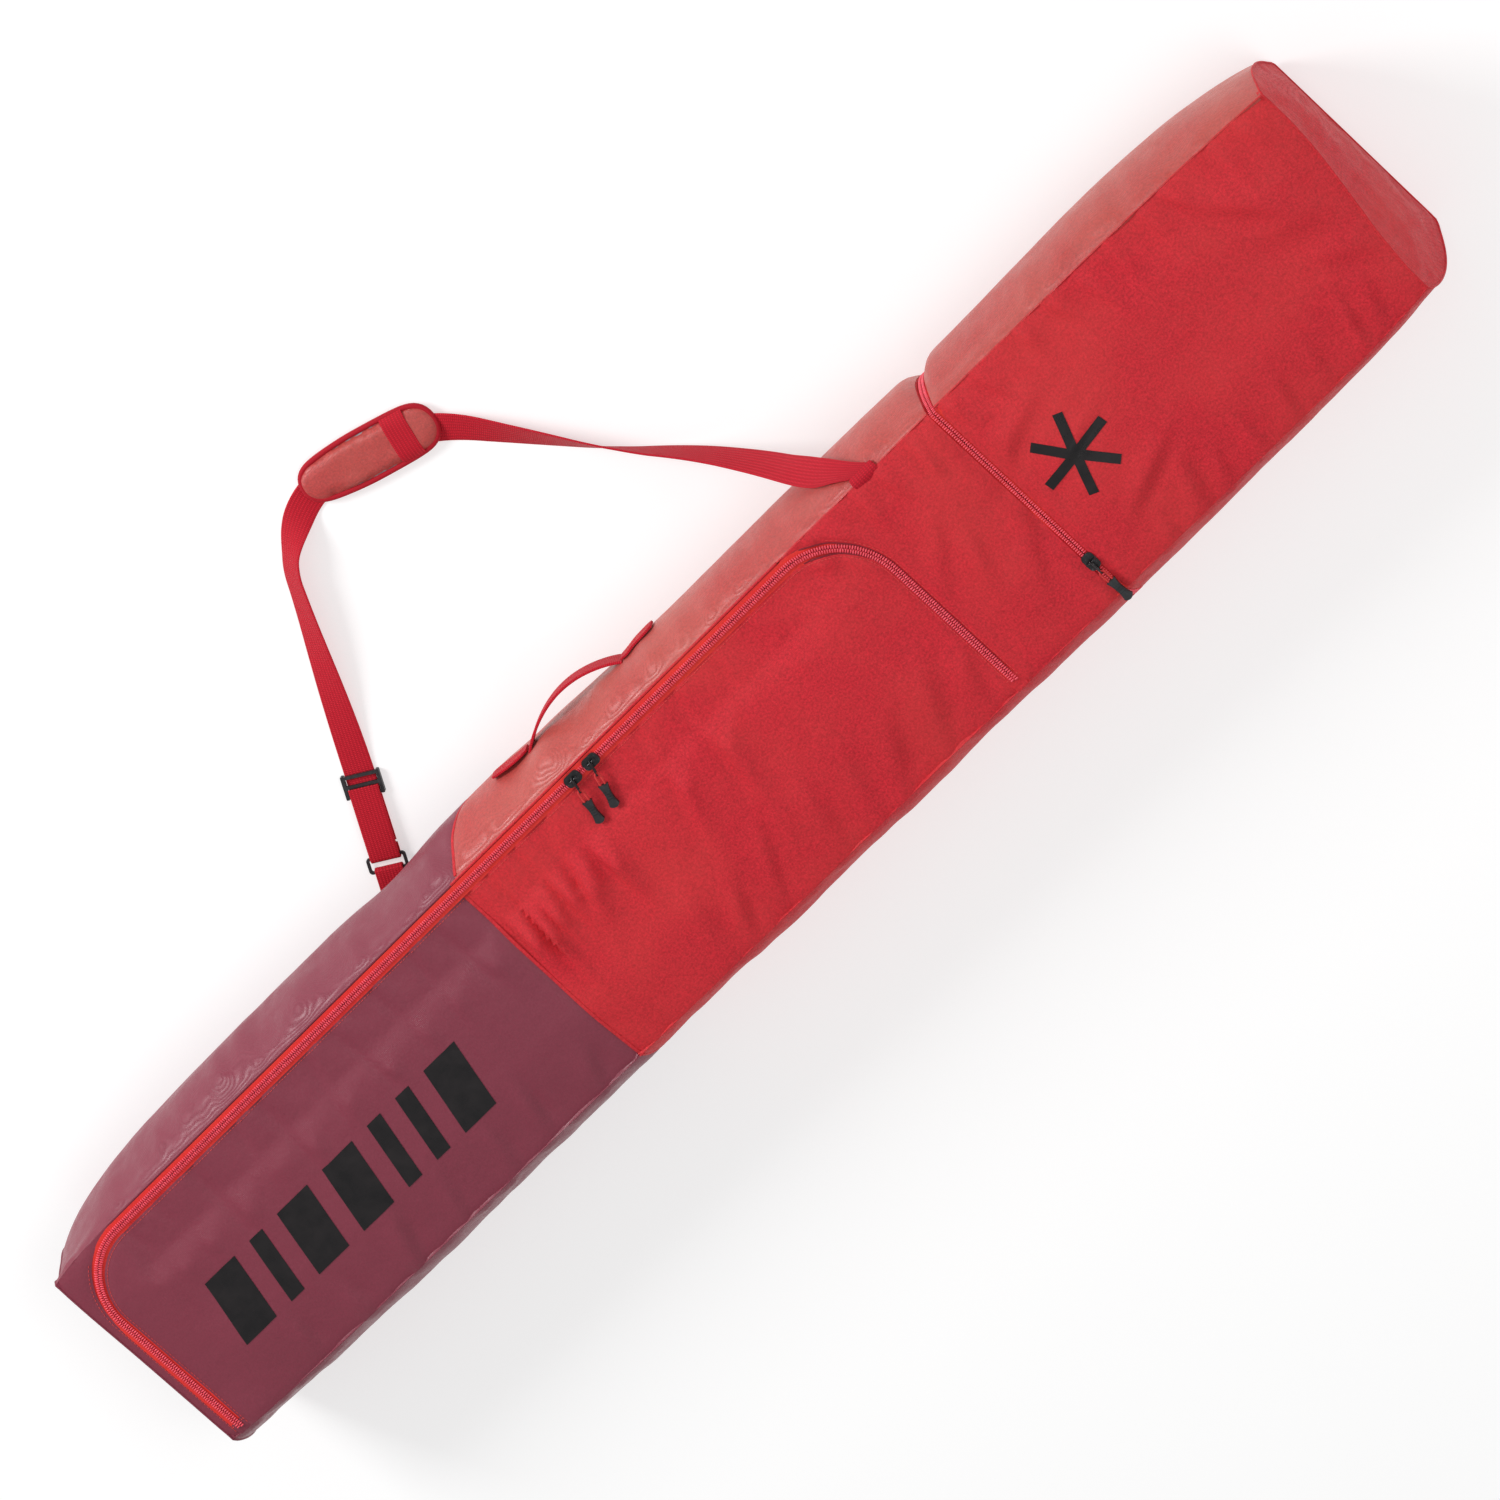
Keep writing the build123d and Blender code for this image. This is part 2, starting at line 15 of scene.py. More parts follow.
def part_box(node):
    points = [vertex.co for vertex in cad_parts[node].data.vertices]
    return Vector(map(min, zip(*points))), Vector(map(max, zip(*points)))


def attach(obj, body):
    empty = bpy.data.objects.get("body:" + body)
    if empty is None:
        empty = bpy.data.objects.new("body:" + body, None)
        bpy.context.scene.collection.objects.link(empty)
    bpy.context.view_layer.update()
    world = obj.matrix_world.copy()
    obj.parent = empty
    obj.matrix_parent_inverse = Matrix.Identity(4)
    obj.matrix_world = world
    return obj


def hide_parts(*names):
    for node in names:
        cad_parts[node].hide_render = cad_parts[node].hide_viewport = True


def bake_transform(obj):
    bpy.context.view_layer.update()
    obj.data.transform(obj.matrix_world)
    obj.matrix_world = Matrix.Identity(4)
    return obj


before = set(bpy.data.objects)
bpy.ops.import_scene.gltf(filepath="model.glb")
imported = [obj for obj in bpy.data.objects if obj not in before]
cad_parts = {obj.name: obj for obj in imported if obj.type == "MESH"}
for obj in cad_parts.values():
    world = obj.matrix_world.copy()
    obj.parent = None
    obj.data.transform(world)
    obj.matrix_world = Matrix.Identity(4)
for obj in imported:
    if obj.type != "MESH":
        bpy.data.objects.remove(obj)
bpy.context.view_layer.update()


def low(node):
    """The lowest corner of a CAD node."""
    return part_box(node)[0]


def high(node):
    """The highest corner of a CAD node."""
    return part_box(node)[1]


# ---- sizes taken from the frame ------------------------------------------------------------------
TAPE_REACH = 0.008       # from a zip's middle to its tape's edge
R_FOOT = 0.075           # corner of the main zip at the foot
R_CROSS = 0.078          # corner of the main zip at its upper end
X_FOOT = low("foot_end_panel")[0]
X_HEAD = high("head_end_panel")[0]
DEPTH = high("head_front_panel")[2]
X_COLOUR = low("lid_panel_red")[0]
X_GIRTH = (high("girth_zip_tape_base")[0] + low("girth_zip_tape_head")[0]) / 2
X_FOOT_ZIP = low("main_zip_tape_base")[0] + TAPE_REACH
X_CROSS = high("main_zip_tape_base")[0] - TAPE_REACH
Y_ZIP = high("main_zip_tape_base")[1] - TAPE_REACH
Y_ZIP_END = low("main_zip_tape_base")[1]
TAPE_TOP = high("main_zip_tape_base")[2]
COIL_TOP = high("main_zip_coil_base")[2]
GUSSET_TOP = DEPTH - 0.0025
FOOT_EDGE = X_FOOT - 0.0050   # where the cloth turns over to the foot's end panel
HEAD_EDGE = X_HEAD - 0.0035
GIRTH_EDGE = 0.0052      # from the girth zip's middle to the cloth on either side
CELL = 0.005             # spacing of the shell's points
SHELL_T = 0.004          # thickness of the shell's cloth with its padding
WEB_T = 0.0022           # thickness of the webbing
UP = (0.0, 0.0, 1.0)
ALONG_X = (1.0, 0.0, 0.0)
SHORT_STITCH = (0.0024, 0.0007, 0.0006)
LONG_STITCH = (0.0029, 0.0007, 0.0006)
TOOTH_PITCH = 0.0026


# ---- materials -----------------------------------------------------------------------------------
class Finish:
    """A node material that is put together step by step."""

    def __init__(self, name):
        self.material = bpy.data.materials.new(name)
        self.material.use_nodes = True
        self.tree = self.material.node_tree
        self.shader = self.tree.nodes["Principled BSDF"]

    def node(self, kind, **settings):
        """A new node with its settings."""
        made = self.tree.nodes.new(kind)
        for name, value in settings.items():
            setattr(made, name, value)
        return made

    def link(self, source, target):
        """Joins an output to an input."""
        self.tree.links.new(source, target)

    def math(self, operation, a, b):
        """A sum on two values or sockets."""
        made = self.node("ShaderNodeMath", operation=operation)
        for socket, value in zip(made.inputs, (a, b)):
            if isinstance(value, (int, float)):
                socket.default_value = value
            else:
                self.link(value, socket)
        return made.outputs[0]

    def folded_place(self, source):
        """The place on the surface as (x, y + z), so that one weave serves every side."""
        apart = self.node("ShaderNodeSeparateXYZ")
        self.link(source, apart.inputs[0])
        joined = self.node("ShaderNodeCombineXYZ")
        self.link(apart.outputs[0], joined.inputs[0])
        self.link(self.math("ADD", apart.outputs[1], apart.outputs[2]), joined.inputs[1])
        return joined.outputs[0]

    def noise(self, place, scale, detail=3.0, rough=0.55):
        """Cloudy noise at a place."""
        made = self.node("ShaderNodeTexNoise")
        self.link(place, made.inputs["Vector"])
        made.inputs["Scale"].default_value = scale
        made.inputs["Detail"].default_value = detail
        made.inputs["Roughness"].default_value = rough
        return made.outputs[0]

    def bands(self, place, scale, direction):
        """Even bands across a direction."""
        made = self.node("ShaderNodeTexWave", wave_type="BANDS", bands_direction=direction)
        self.link(place, made.inputs["Vector"])
        made.inputs["Scale"].default_value = scale
        return made.outputs["Fac"]

    def ramp(self, value, stops):
        """Colours for a value, from (place, colour) stops."""
        made = self.node("ShaderNodeValToRGB")
        self.link(value, made.inputs[0])
        ramp = made.color_ramp
        while len(ramp.elements) < len(stops):
            ramp.elements.new(0.5)
        for element, (place, colour) in zip(ramp.elements, stops):
            element.position = place
            element.color = (*colour, 1.0)
        return made.outputs[0]

    def mix(self, share, a, b):
        """Two colours or sockets mixed by a share."""
        made = self.node("ShaderNodeMix", data_type="RGBA")
        for socket, value in zip((made.inputs[0], made.inputs[6], made.inputs[7]), (share, a, b)):
            if isinstance(value, (int, float)):
                socket.default_value = value
            elif isinstance(value, tuple):
                socket.default_value = (*value, 1.0)
            else:
                self.link(value, socket)
        return made.outputs[2]

    def bump(self, height, distance, strength=1.0, under=None):
        """A relief, on top of another one where there is one."""
        made = self.node("ShaderNodeBump")
        made.inputs["Distance"].default_value = distance
        made.inputs["Strength"].default_value = strength
        self.link(height, made.inputs["Height"])
        if under is not None:
            self.link(under, made.inputs["Normal"])
        return made.outputs[0]

    def set(self, **values):
        """Sets some of the shader's inputs."""
        for name, value in values.items():
            self.shader.inputs[name.replace("_", " ")].default_value = value


def shade(colour, share):
    """A darker or lighter colour."""
    return tuple(min(1.0, channel * share) for channel in colour)


def cloth(name, colour, warm, roughness, sheen, thread=0.0011, grain=0.16, crumple=0.0009, gloss=0.25):
    """Woven cloth with a melange grain, uneven dye, a fine weave and small creases."""
    made = Finish(name)
    place = made.node("ShaderNodeTexCoord").outputs["Object"]
    flat = made.folded_place(place)
    weave = made.math(
        "MULTIPLY", made.bands(flat, 0.32 / thread, "X"), made.bands(flat, 0.32 / thread, "Y")
    )
    melange = made.noise(place, 0.45 / thread, 3.0, 0.75)
    dark, light = shade(colour, 1 - grain), shade(colour, 1 + grain)
    threads = made.ramp(melange, [(0.3, dark), (0.5, colour), (0.72, light)])
    dye = made.ramp(made.noise(place, 9.0, 4.0), [(0.35, (0.0,) * 3), (0.7, (1.0,) * 3)])
    tinted = made.mix(dye, threads, made.mix(0.35, threads, warm))
    made.link(made.mix(made.math("MULTIPLY", weave, 0.22), tinted, dark), made.shader.inputs["Base Color"])
    wear = made.ramp(
        made.noise(place, 60.0, 3.0), [(0.3, (roughness - 0.08,) * 3), (0.7, (roughness + 0.1,) * 3)]
    )
    made.link(wear, made.shader.inputs["Roughness"])
    creases = made.bump(made.noise(place, 55.0, 4.0, 0.6), crumple, 0.8)
    made.link(made.bump(weave, thread * 0.35, 0.5, creases), made.shader.inputs["Normal"])
    made.set(Sheen_Weight=sheen, Sheen_Roughness=0.45, Specular_IOR_Level=gloss)
    made.shader.inputs["Sheen Tint"].default_value = (1.0, 0.72, 0.62, 1.0)
    return made.material


def webbing_finish(name, colour):
    """Ribbed webbing: ribs across it every 2 mm and cords along it, from its own length and width."""
    made = Finish(name)
    along = made.node("ShaderNodeUVMap", uv_map="UVMap").outputs[0]
    ribs = made.bands(along, 0.31 / 0.002, "Y")
    cords = made.bands(along, 0.31 / 0.0034, "X")
    weave = made.math("MULTIPLY", ribs, cords)
    place = made.node("ShaderNodeTexCoord").outputs["Object"]
    fibre = made.noise(place, 1400.0, 2.0, 0.7)
    tone = made.math("ADD", made.math("MULTIPLY", weave, 0.5), made.math("MULTIPLY", fibre, 0.5))
    stops = [(0.15, shade(colour, 0.62)), (0.45, colour), (0.8, shade(colour, 1.3))]
    made.link(made.ramp(tone, stops), made.shader.inputs["Base Color"])
    made.link(made.bump(weave, 0.0006, 0.8, made.bump(fibre, 0.0002)), made.shader.inputs["Normal"])
    made.set(Roughness=0.66, Sheen_Weight=0.05, Sheen_Roughness=0.4, Specular_IOR_Level=0.16)
    return made.material


def hard(name, colour, roughness, grain, metallic=0.0, coat=0.0, wear=None):
    """Moulded or painted hard surface with uneven gloss, fine texture and rubbed spots."""
    made = Finish(name)
    place = made.node("ShaderNodeTexCoord").outputs["Object"]
    patches = made.noise(place, 260.0, 4.0, 0.6)
    rubbed = wear or shade(colour, 2.2)
    made.link(
        made.ramp(patches, [(0.45, colour), (0.62, shade(colour, 1.5)), (0.78, rubbed)]),
        made.shader.inputs["Base Color"],
    )
    made.link(
        made.ramp(patches, [(0.3, (roughness - 0.1,) * 3), (0.75, (roughness + 0.15,) * 3)]),
        made.shader.inputs["Roughness"],
    )
    made.link(made.bump(made.noise(place, 2200.0, 2.0), grain, 0.7), made.shader.inputs["Normal"])
    made.set(Metallic=metallic, Coat_Weight=coat, Coat_Roughness=0.25)
    return made.material


def print_finish(name):
    """A glossy black film pressed onto the cloth: its weave shows through and it is worn in spots."""
    made = Finish(name)
    place = made.node("ShaderNodeTexCoord").outputs["Object"]
    flat = made.folded_place(place)
    weave = made.math("MULTIPLY", made.bands(flat, 300.0, "X"), made.bands(flat, 300.0, "Y"))
    worn = made.noise(place, 45.0, 5.0, 0.65)
    made.link(
        made.ramp(worn, [(0.35, (0.005, 0.004, 0.005)), (0.8, (0.014, 0.010, 0.011))]),
        made.shader.inputs["Base Color"],
    )
    made.link(made.ramp(worn, [(0.3, (0.22,) * 3), (0.75, (0.42,) * 3)]), made.shader.inputs["Roughness"])
    creases = made.bump(made.noise(place, 30.0, 2.0), 0.0006, 0.6)
    made.link(made.bump(weave, 0.0002, 0.3, creases), made.shader.inputs["Normal"])
    made.set(Specular_IOR_Level=0.45)
    return made.material


RED, BURGUNDY = (0.585, 0.017, 0.030), (0.228, 0.032, 0.058)
FINISH = {
    "red_cloth": cloth("red_cloth", RED, (0.68, 0.055, 0.045), 0.58, 0.05, grain=0.34),
    # A copy of the red cloth whose colour is made paler and more salmon. This is painted sheen from the key
    # light, used on the handle side and the shoulder pad.
    "sheen_painted_red_cloth": cloth(
        "sheen_painted_red_cloth", (0.47, 0.040, 0.036), (0.56, 0.15, 0.11), 0.40, 0.26,
        grain=0.30, crumple=0.0014, gloss=0.55,
    ),
    "burgundy_cloth": cloth(
        "burgundy_cloth", BURGUNDY, (0.24, 0.036, 0.062), 0.40, 0.06, grain=0.10, crumple=0.0012, gloss=0.40
    ),
    "piping": cloth("piping", (0.22, 0.012, 0.022), (0.30, 0.02, 0.03), 0.5, 0.1, 0.0006, 0.2, 0.0002),
    "zip_tape": cloth("zip_tape", (0.74, 0.028, 0.026), (0.85, 0.07, 0.035), 0.6, 0.2, 0.0009, 0.2, 0.0002),
    "zip_coil": hard("zip_coil", (0.80, 0.065, 0.10), 0.40, 0.00008, wear=(0.86, 0.16, 0.18)),
    "webbing": webbing_finish("webbing", (0.56, 0.012, 0.028)),
    "cord": cloth("cord", (0.62, 0.03, 0.035), (0.75, 0.06, 0.04), 0.6, 0.3, 0.0006, 0.25, 0.0002),
    "slider_metal": hard(
        "slider_metal", (0.018, 0.018, 0.020), 0.32, 0.00005, 0.55, 0.4, (0.16, 0.15, 0.15)
    ),
    "black_plastic": hard("black_plastic", (0.016, 0.016, 0.018), 0.48, 0.00012),
    "foam": cloth("foam", (0.30, 0.30, 0.32), (0.34, 0.34, 0.35), 0.9, 0.0, 0.002, 0.3, 0.0010),
    "lining": cloth("lining", (0.10, 0.10, 0.11), (0.13, 0.13, 0.15), 0.55, 0.15, 0.0012, 0.2, 0.0010),
    "thread": cloth("thread", (0.70, 0.06, 0.06), (0.8, 0.1, 0.08), 0.6, 0.2, 0.0005, 0.2, 0.0001),
    "print": print_finish("print"),
}


# ---- meshes --------------------------------------------------------------------------------------
def piece(name, points, faces, finish, body=None, stands_for=(), uvs=None, sharp=50, lined=0):
    """A named mesh piece with its finish, on its CAD body.

    lined is the number of faces on its outer skin, where its inner skin has the lining's finish.
    """
    mesh = bpy.data.meshes.new(name)
    mesh.from_pydata([tuple(point) for point in points], [], [tuple(face) for face in faces])
    mesh.validate()
    if uvs is not None:
        layer = mesh.uv_layers.new(name="UVMap")
        index = np.empty(len(mesh.loops), int)
        mesh.loops.foreach_get("vertex_index", index)
        layer.data.foreach_set("uv", np.asarray(uvs)[index].ravel())
    mesh.shade_smooth()
    mesh.set_sharp_from_angle(angle=math.radians(sharp))
    made = bpy.data.objects.new(name, mesh)
    bpy.context.collection.objects.link(made)
    mesh.materials.append(FINISH[finish])
    if lined:
        mesh.materials.append(FINISH["lining"])
        for face in mesh.polygons[lined : 2 * lined]:
            face.material_index = 1
    if stands_for:
        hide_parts(*stands_for)
    if body:
        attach(made, body)
    return made


def grid_faces(rows, columns, flip=False):
    """Quads of a grid of points that is stored row by row."""
    faces = []
    for i in range(rows - 1):
        for j in range(columns - 1):
            a = i * columns + j
            face = (a, a + 1, a + columns + 1, a + columns)
            faces.append(face[::-1] if flip else face)
    return faces


def thickened(points, faces, thickness):
    """A closed wall from its outer skin: the skin, the same skin set back, and the rims."""
    points = np.asarray(points, float)
    normals = np.zeros_like(points)
    for face in faces:
        corners = points[list(face)]
        normal = np.cross(corners[1] - corners[0], corners[2] - corners[0])
        if len(face) == 4:
            normal = normal + np.cross(corners[2] - corners[0], corners[3] - corners[0])
        for corner in face:
            normals[corner] += normal
    normals /= np.maximum(np.linalg.norm(normals, axis=1, keepdims=True), 1e-12)
    count = len(points)
    directed = {(face[k - 1], face[k]) for face in faces for k in range(len(face))}
    rims = [(b, a, a + count, b + count) for a, b in directed if (b, a) not in directed]
    back = [tuple(corner + count for corner in face[::-1]) for face in faces]
    return np.vstack([points, points - normals * thickness]), list(faces) + back + rims


def inside(points, outline):
    """Which points lie inside a closed outline."""
    x, y = points[:, 0], points[:, 1]
    found = np.zeros(len(points), bool)
    for (x0, y0), (x1, y1) in zip(outline, np.roll(outline, -1, axis=0)):
        crosses = (y0 > y) != (y1 > y)
        rise = y1 - y0 if abs(y1 - y0) > 1e-12 else 1e-12
        found ^= crosses & (x < (x1 - x0) * (y - y0) / rise + x0)
    return found


def spaced(points, step):
    """A closed outline with points at most step apart, its corners kept."""
    dense = []
    for a, b in zip(points, np.roll(points, -1, axis=0)):
        parts = max(1, math.ceil(np.linalg.norm(b - a) / step))
        dense += [a + (b - a) * k / parts for k in range(parts)]
    return np.array(dense)


def filled(outline, step=CELL):
    """Even triangles that fill a flat outline."""
    rim = spaced(np.asarray(outline, float), step)
    area = np.sum(rim[:, 0] * np.roll(rim[:, 1], -1) - np.roll(rim[:, 0], -1) * rim[:, 1])
    if area < 0:
        rim = rim[::-1]
    x0, y0 = rim.min(axis=0)
    x1, y1 = rim.max(axis=0)
    rows = np.arange(y0, y1, step * 0.87)
    inner = []
    for k, y in enumerate(rows):
        xs = np.arange(x0 + (k % 2) * step / 2, x1, step)
        inner.append(np.column_stack([xs, np.full(len(xs), y)]))
    inner = np.vstack(inner)
    inner = inner[inside(inner, rim)]
    nearest = np.full(len(inner), 1e9)
    for point in rim:
        nearest = np.minimum(nearest, np.hypot(*(inner - point).T))
    inner = inner[nearest > step * 0.6]
    points = [Vector(point) for point in np.vstack([rim, inner])]
    edges = [(k, (k + 1) % len(rim)) for k in range(len(rim))]
    flat, _, faces, *_ = delaunay_2d_cdt(points, edges, [], 1, 1e-7)
    return np.array([tuple(point) for point in flat]), [tuple(face) for face in faces]


def unit(vectors):
    """The same directions at a length of 1."""
    return vectors / np.maximum(np.linalg.norm(vectors, axis=-1, keepdims=True), 1e-12)


def tangents(line):
    """A line's direction at each of its points."""
    return unit(np.gradient(np.asarray(line, float), axis=0))


def reach_along(line):
    """Each point's distance from the line's start, measured along the line."""
    return np.concatenate([[0], np.cumsum(np.linalg.norm(np.diff(line, axis=0), axis=1))])


def resampled(values, reach, stops):
    """Values that are known at some distances, read at other distances."""
    return np.column_stack([np.interp(stops, reach, column) for column in values.T])


def strip(name, line, across, width, thickness, finish, body=None, stands_for=(), ends=0.0):
    """A band of webbing along a line: across gives the direction of its width at each point."""
    line = np.asarray(line, float)
    across = unit(np.asarray(across, float) * np.ones_like(line))
    up = np.cross(across, tangents(line))
    reach = reach_along(line)
    nearest_end = np.minimum(reach, reach[-1] - reach)
    half = width / 2 * (1 - ends * np.exp(-nearest_end / 0.004))
    left = [(-1, 0.0), (-0.97, 0.42), (-0.9, 0.5), (-0.45, 0.46)]
    profile = left + [(0, 0.48)] + [(-u, v) for u, v in left[::-1]]
    profile += [(u, -v) for u, v in profile[-2:0:-1]]
    rings = [line + across * (half * u)[:, None] + up * thickness * v for u, v in profile]
    points = np.stack(rings, axis=1).reshape(-1, 3)
    uvs = np.stack([np.stack([half * u, reach], axis=1) for u, _ in profile], axis=1).reshape(-1, 2)
    sides = len(profile)
    faces = []
    for i in range(len(line) - 1):
        for j in range(sides):
            a, b = i * sides + j, i * sides + (j + 1) % sides
            faces.append((a, a + sides, b + sides, b))
    faces.append(tuple(range(sides)))
    faces.append(tuple(range((len(line) - 1) * sides, len(line) * sides))[::-1])
    return piece(name, points, faces, finish, body, stands_for, uvs)


def tube(name, line, radius, finish, body=None, stands_for=(), sides=8, closed=False):
    """A round rod along a line, such as the welt in a seam."""
    line = np.asarray(line, float)
    along = tangents(line)
    start = np.cross(along[0], (0.0, 0.0, 1.0))
    if np.linalg.norm(start) < 0.1:
        start = np.cross(along[0], (0.0, 1.0, 0.0))
    side = unit(start)
    rings = []
    for point, heading in zip(line, along):
        side = unit(side - heading * np.dot(side, heading))
        up = np.cross(heading, side)
        turns = np.arange(sides) * 2 * math.pi / sides
        rings.append(point + radius * (np.outer(np.cos(turns), side) + np.outer(np.sin(turns), up)))
    faces = []
    count = len(line)
    for i in range(count if closed else count - 1):
        for j in range(sides):
            k = (j + 1) % sides
            a, b = i * sides, (i + 1) % count * sides
            faces.append((a + j, a + k, b + k, b + j))
    if not closed:
        faces.append(tuple(range(sides))[::-1])
        faces.append(tuple(range((count - 1) * sides, count * sides)))
    return piece(name, np.vstack(rings), faces, finish, body, stands_for)


def repeated(name, places, along, up, size, finish, body, stands_for=()):
    """Many small rounded bars in one piece, such as stitches or a zip's teeth.

    size is each bar's (length, width, height); along is the direction of its length. along and up
    are one direction for all of the bars or one for each.
    """
    length, width, height = size
    turns = np.arange(6) * math.pi / 3
    ring = np.column_stack([np.cos(turns) * width / 2, np.sin(turns) * height / 2])
    ends = [(-0.5, 0.55), (-0.32, 1.0), (0.32, 1.0), (0.5, 0.55)]
    along, up = unit(np.asarray(along, float)), np.asarray(up, float)
    across = unit(np.cross(up, along))
    up = np.cross(along, across)
    blocks = []
    for reach, swell in ends:
        for u, v in ring * swell:
            blocks.append(places + along * reach * length + across * u + up * v)
    points = np.stack(blocks, axis=1).reshape(-1, 3)
    single = []
    for i in range(len(ends) - 1):
        for j in range(6):
            k = (j + 1) % 6
            single.append((i * 6 + j, i * 6 + k, i * 6 + 6 + k, i * 6 + 6 + j))
    single += [tuple(range(6))[::-1], tuple(range(18, 24))]
    faces = [tuple(corner + 24 * copy for corner in face) for copy in range(len(places)) for face in single]
    return piece(name, points, faces, finish, body, stands_for, sharp=70)


# ---- the shape of the soft shell -----------------------------------------------------------------
def smooth(share):
    """A soft step from 0 to 1."""
    share = np.clip(share, 0.0, 1.0)
    return share * share * (3 - 2 * share)


def bell(distance, width):
    """A soft bump that is 1 at no distance."""
    return np.exp(-((distance / width) ** 2))


def rumple(u, v, seed):
    """Smooth noise from -1 to 1 that changes over a distance of 1."""
    table = np.random.default_rng(seed).uniform(-1, 1, (64, 64))
    u, v = np.broadcast_arrays(np.asarray(u, float), np.asarray(v, float))
    i, j = np.floor(u).astype(int), np.floor(v).astype(int)
    f, g = smooth(u - i), smooth(v - j)
    corner = [[table[(i + a) % 64, (j + b) % 64] for b in (0, 1)] for a in (0, 1)]
    near = corner[0][0] * (1 - f) + corner[1][0] * f
    far = corner[0][1] * (1 - f) + corner[1][1] * f
    return near * (1 - g) + far * g


def from_ends(x):
    """Distance from the nearer end of the bag."""
    return np.minimum(x - FOOT_EDGE, HEAD_EDGE - x) + 0.0035


def near_seam(x):
    """The front's long seam on the handle's side."""
    reach = np.where(x < 0, 0.035, 0.12)
    return Y_ZIP + 0.0097 - 0.0085 * np.exp(-from_ends(x) / reach)


def far_seam(x):
    """The front's long seam on the far side."""
    return -0.1275 + 0.007 * np.exp(-from_ends(x) / 0.06)


def back_seam(x):
    """Half the width of the back, at its seams."""
    return high("back_panel")[1] - 0.002 - 0.012 * np.exp(-from_ends(x) / 0.05)


def fullness(x, side):
    """How far the side gussets stand out at their fullest."""
    handle = 0.1630 + 0.0080 * smooth((0.08 - x) / 0.2)
    handle = handle - 0.0125 * bell(x - X_GIRTH, 0.0125) - 0.005 * bell(x + 0.335, 0.05)
    handle = handle - np.where(x < 0, 0.038, 0.0265) * np.exp(-from_ends(x) / 0.070)
    far = 0.1505 - 0.0035 * bell(x + 0.22, 0.09) - 0.003 * bell(x - 0.25, 0.09)
    far = far - np.where(x < 0, 0.007, 0.015) * np.exp(-from_ends(x) / 0.1)
    return handle if side > 0 else far


def zip_distance(x, y):
    """Distance from the main zip's middle line, negative on the lid's side."""
    middle, half = (X_FOOT_ZIP + X_CROSS) / 2, (X_CROSS - X_FOOT_ZIP) / 2
    radius = np.where(x < middle, R_FOOT, R_CROSS)
    across = np.abs(x - middle) - half + radius
    along = y - Y_ZIP + radius
    outside = np.hypot(np.maximum(across, 0), np.maximum(along, 0))
    return outside + np.minimum(np.maximum(across, along), 0) - radius


def make_folds():
    """The front's folds: (middle, heading in degrees, length, width, height) for each."""
    chance = np.random.default_rng(7)
    rows = [
        # first and last middle, how many, heading, length, width, height
        ((-0.77, 0.078), (-0.29, 0.082), 10, -93, 0.095, 0.0075, 0.0030),
        ((-0.74, -0.100), (-0.30, -0.100), 7, 80, 0.060, 0.008, 0.0015),
        ((-0.245, 0.058), (-0.125, 0.060), 6, -99, 0.115, 0.0062, 0.0058),
        ((-0.03, 0.080), (0.15, 0.084), 5, -92, 0.060, 0.008, 0.0018),
        ((-0.01, 0.045), (0.05, 0.03), 2, -106, 0.140, 0.008, 0.0036),
        ((-0.12, -0.080), (0.26, -0.085), 8, 68, 0.075, 0.009, 0.0017),
        ((0.24, 0.105), (0.40, 0.105), 5, -92, 0.048, 0.007, 0.0018),
        ((0.33, 0.03), (0.40, -0.02), 3, 62, 0.080, 0.010, 0.0012),
        ((0.46, 0.108), (0.84, 0.104), 10, -82, 0.046, 0.0065, 0.0017),
        ((0.50, -0.105), (0.82, -0.102), 8, 78, 0.050, 0.007, 0.0015),
        ((0.47, 0.06), (0.53, -0.05), 3, 12, 0.085, 0.009, 0.0014),
        ((0.80, 0.06), (0.84, -0.04), 3, -35, 0.080, 0.012, 0.0020),
    ]
    folds = []
    for first, last, count, heading, length, width, height in rows:
        for k in range(count):
            share = k / max(1, count - 1)
            place = np.add(np.multiply(first, 1 - share), np.multiply(last, share))
            place = place + chance.uniform(-0.011, 0.011, 2)
            turn = heading + chance.uniform(-12, 12)
            sizes = [value * chance.uniform(0.65, 1.25) for value in (length, width, height)]
            folds.append((place, turn, *sizes))
    return folds


FOLDS = make_folds()
FOLD_STRENGTH = 2.3
LOWEST_GROOVE = 0.0024   # no groove is deeper than this, so that the padding stays covered
PULL_ROOM = 0.0008       # the cloth's distance below a pull
PULL_SLOPE = 0.30        # how steeply the cloth may rise beside a pull's path
FOOT_SLIDER_TRAVEL = 0.68
HEAD_SLIDER_TRAVEL = 0.26
GIRTH_SLIDER_TRAVEL = (0.03, 0.19)


def pull_path(pulls, back, forth, axis):
    """The rectangle that some pulls sweep along one axis, and the height of their underside."""
    lows = np.min([low(f"{pull}_pull_{part}") for pull in pulls for part in ("tab", "cord")], axis=0)
    highs = np.max([high(f"{pull}_pull_{part}") for pull in pulls for part in ("tab", "cord")], axis=0)
    lows[axis] -= back
    highs[axis] += forth
    return lows, highs


PULL_PATHS = [
    pull_path(("foot", "head"), FOOT_SLIDER_TRAVEL, HEAD_SLIDER_TRAVEL, 0),
    pull_path(("girth",), *GIRTH_SLIDER_TRAVEL, 1),
]


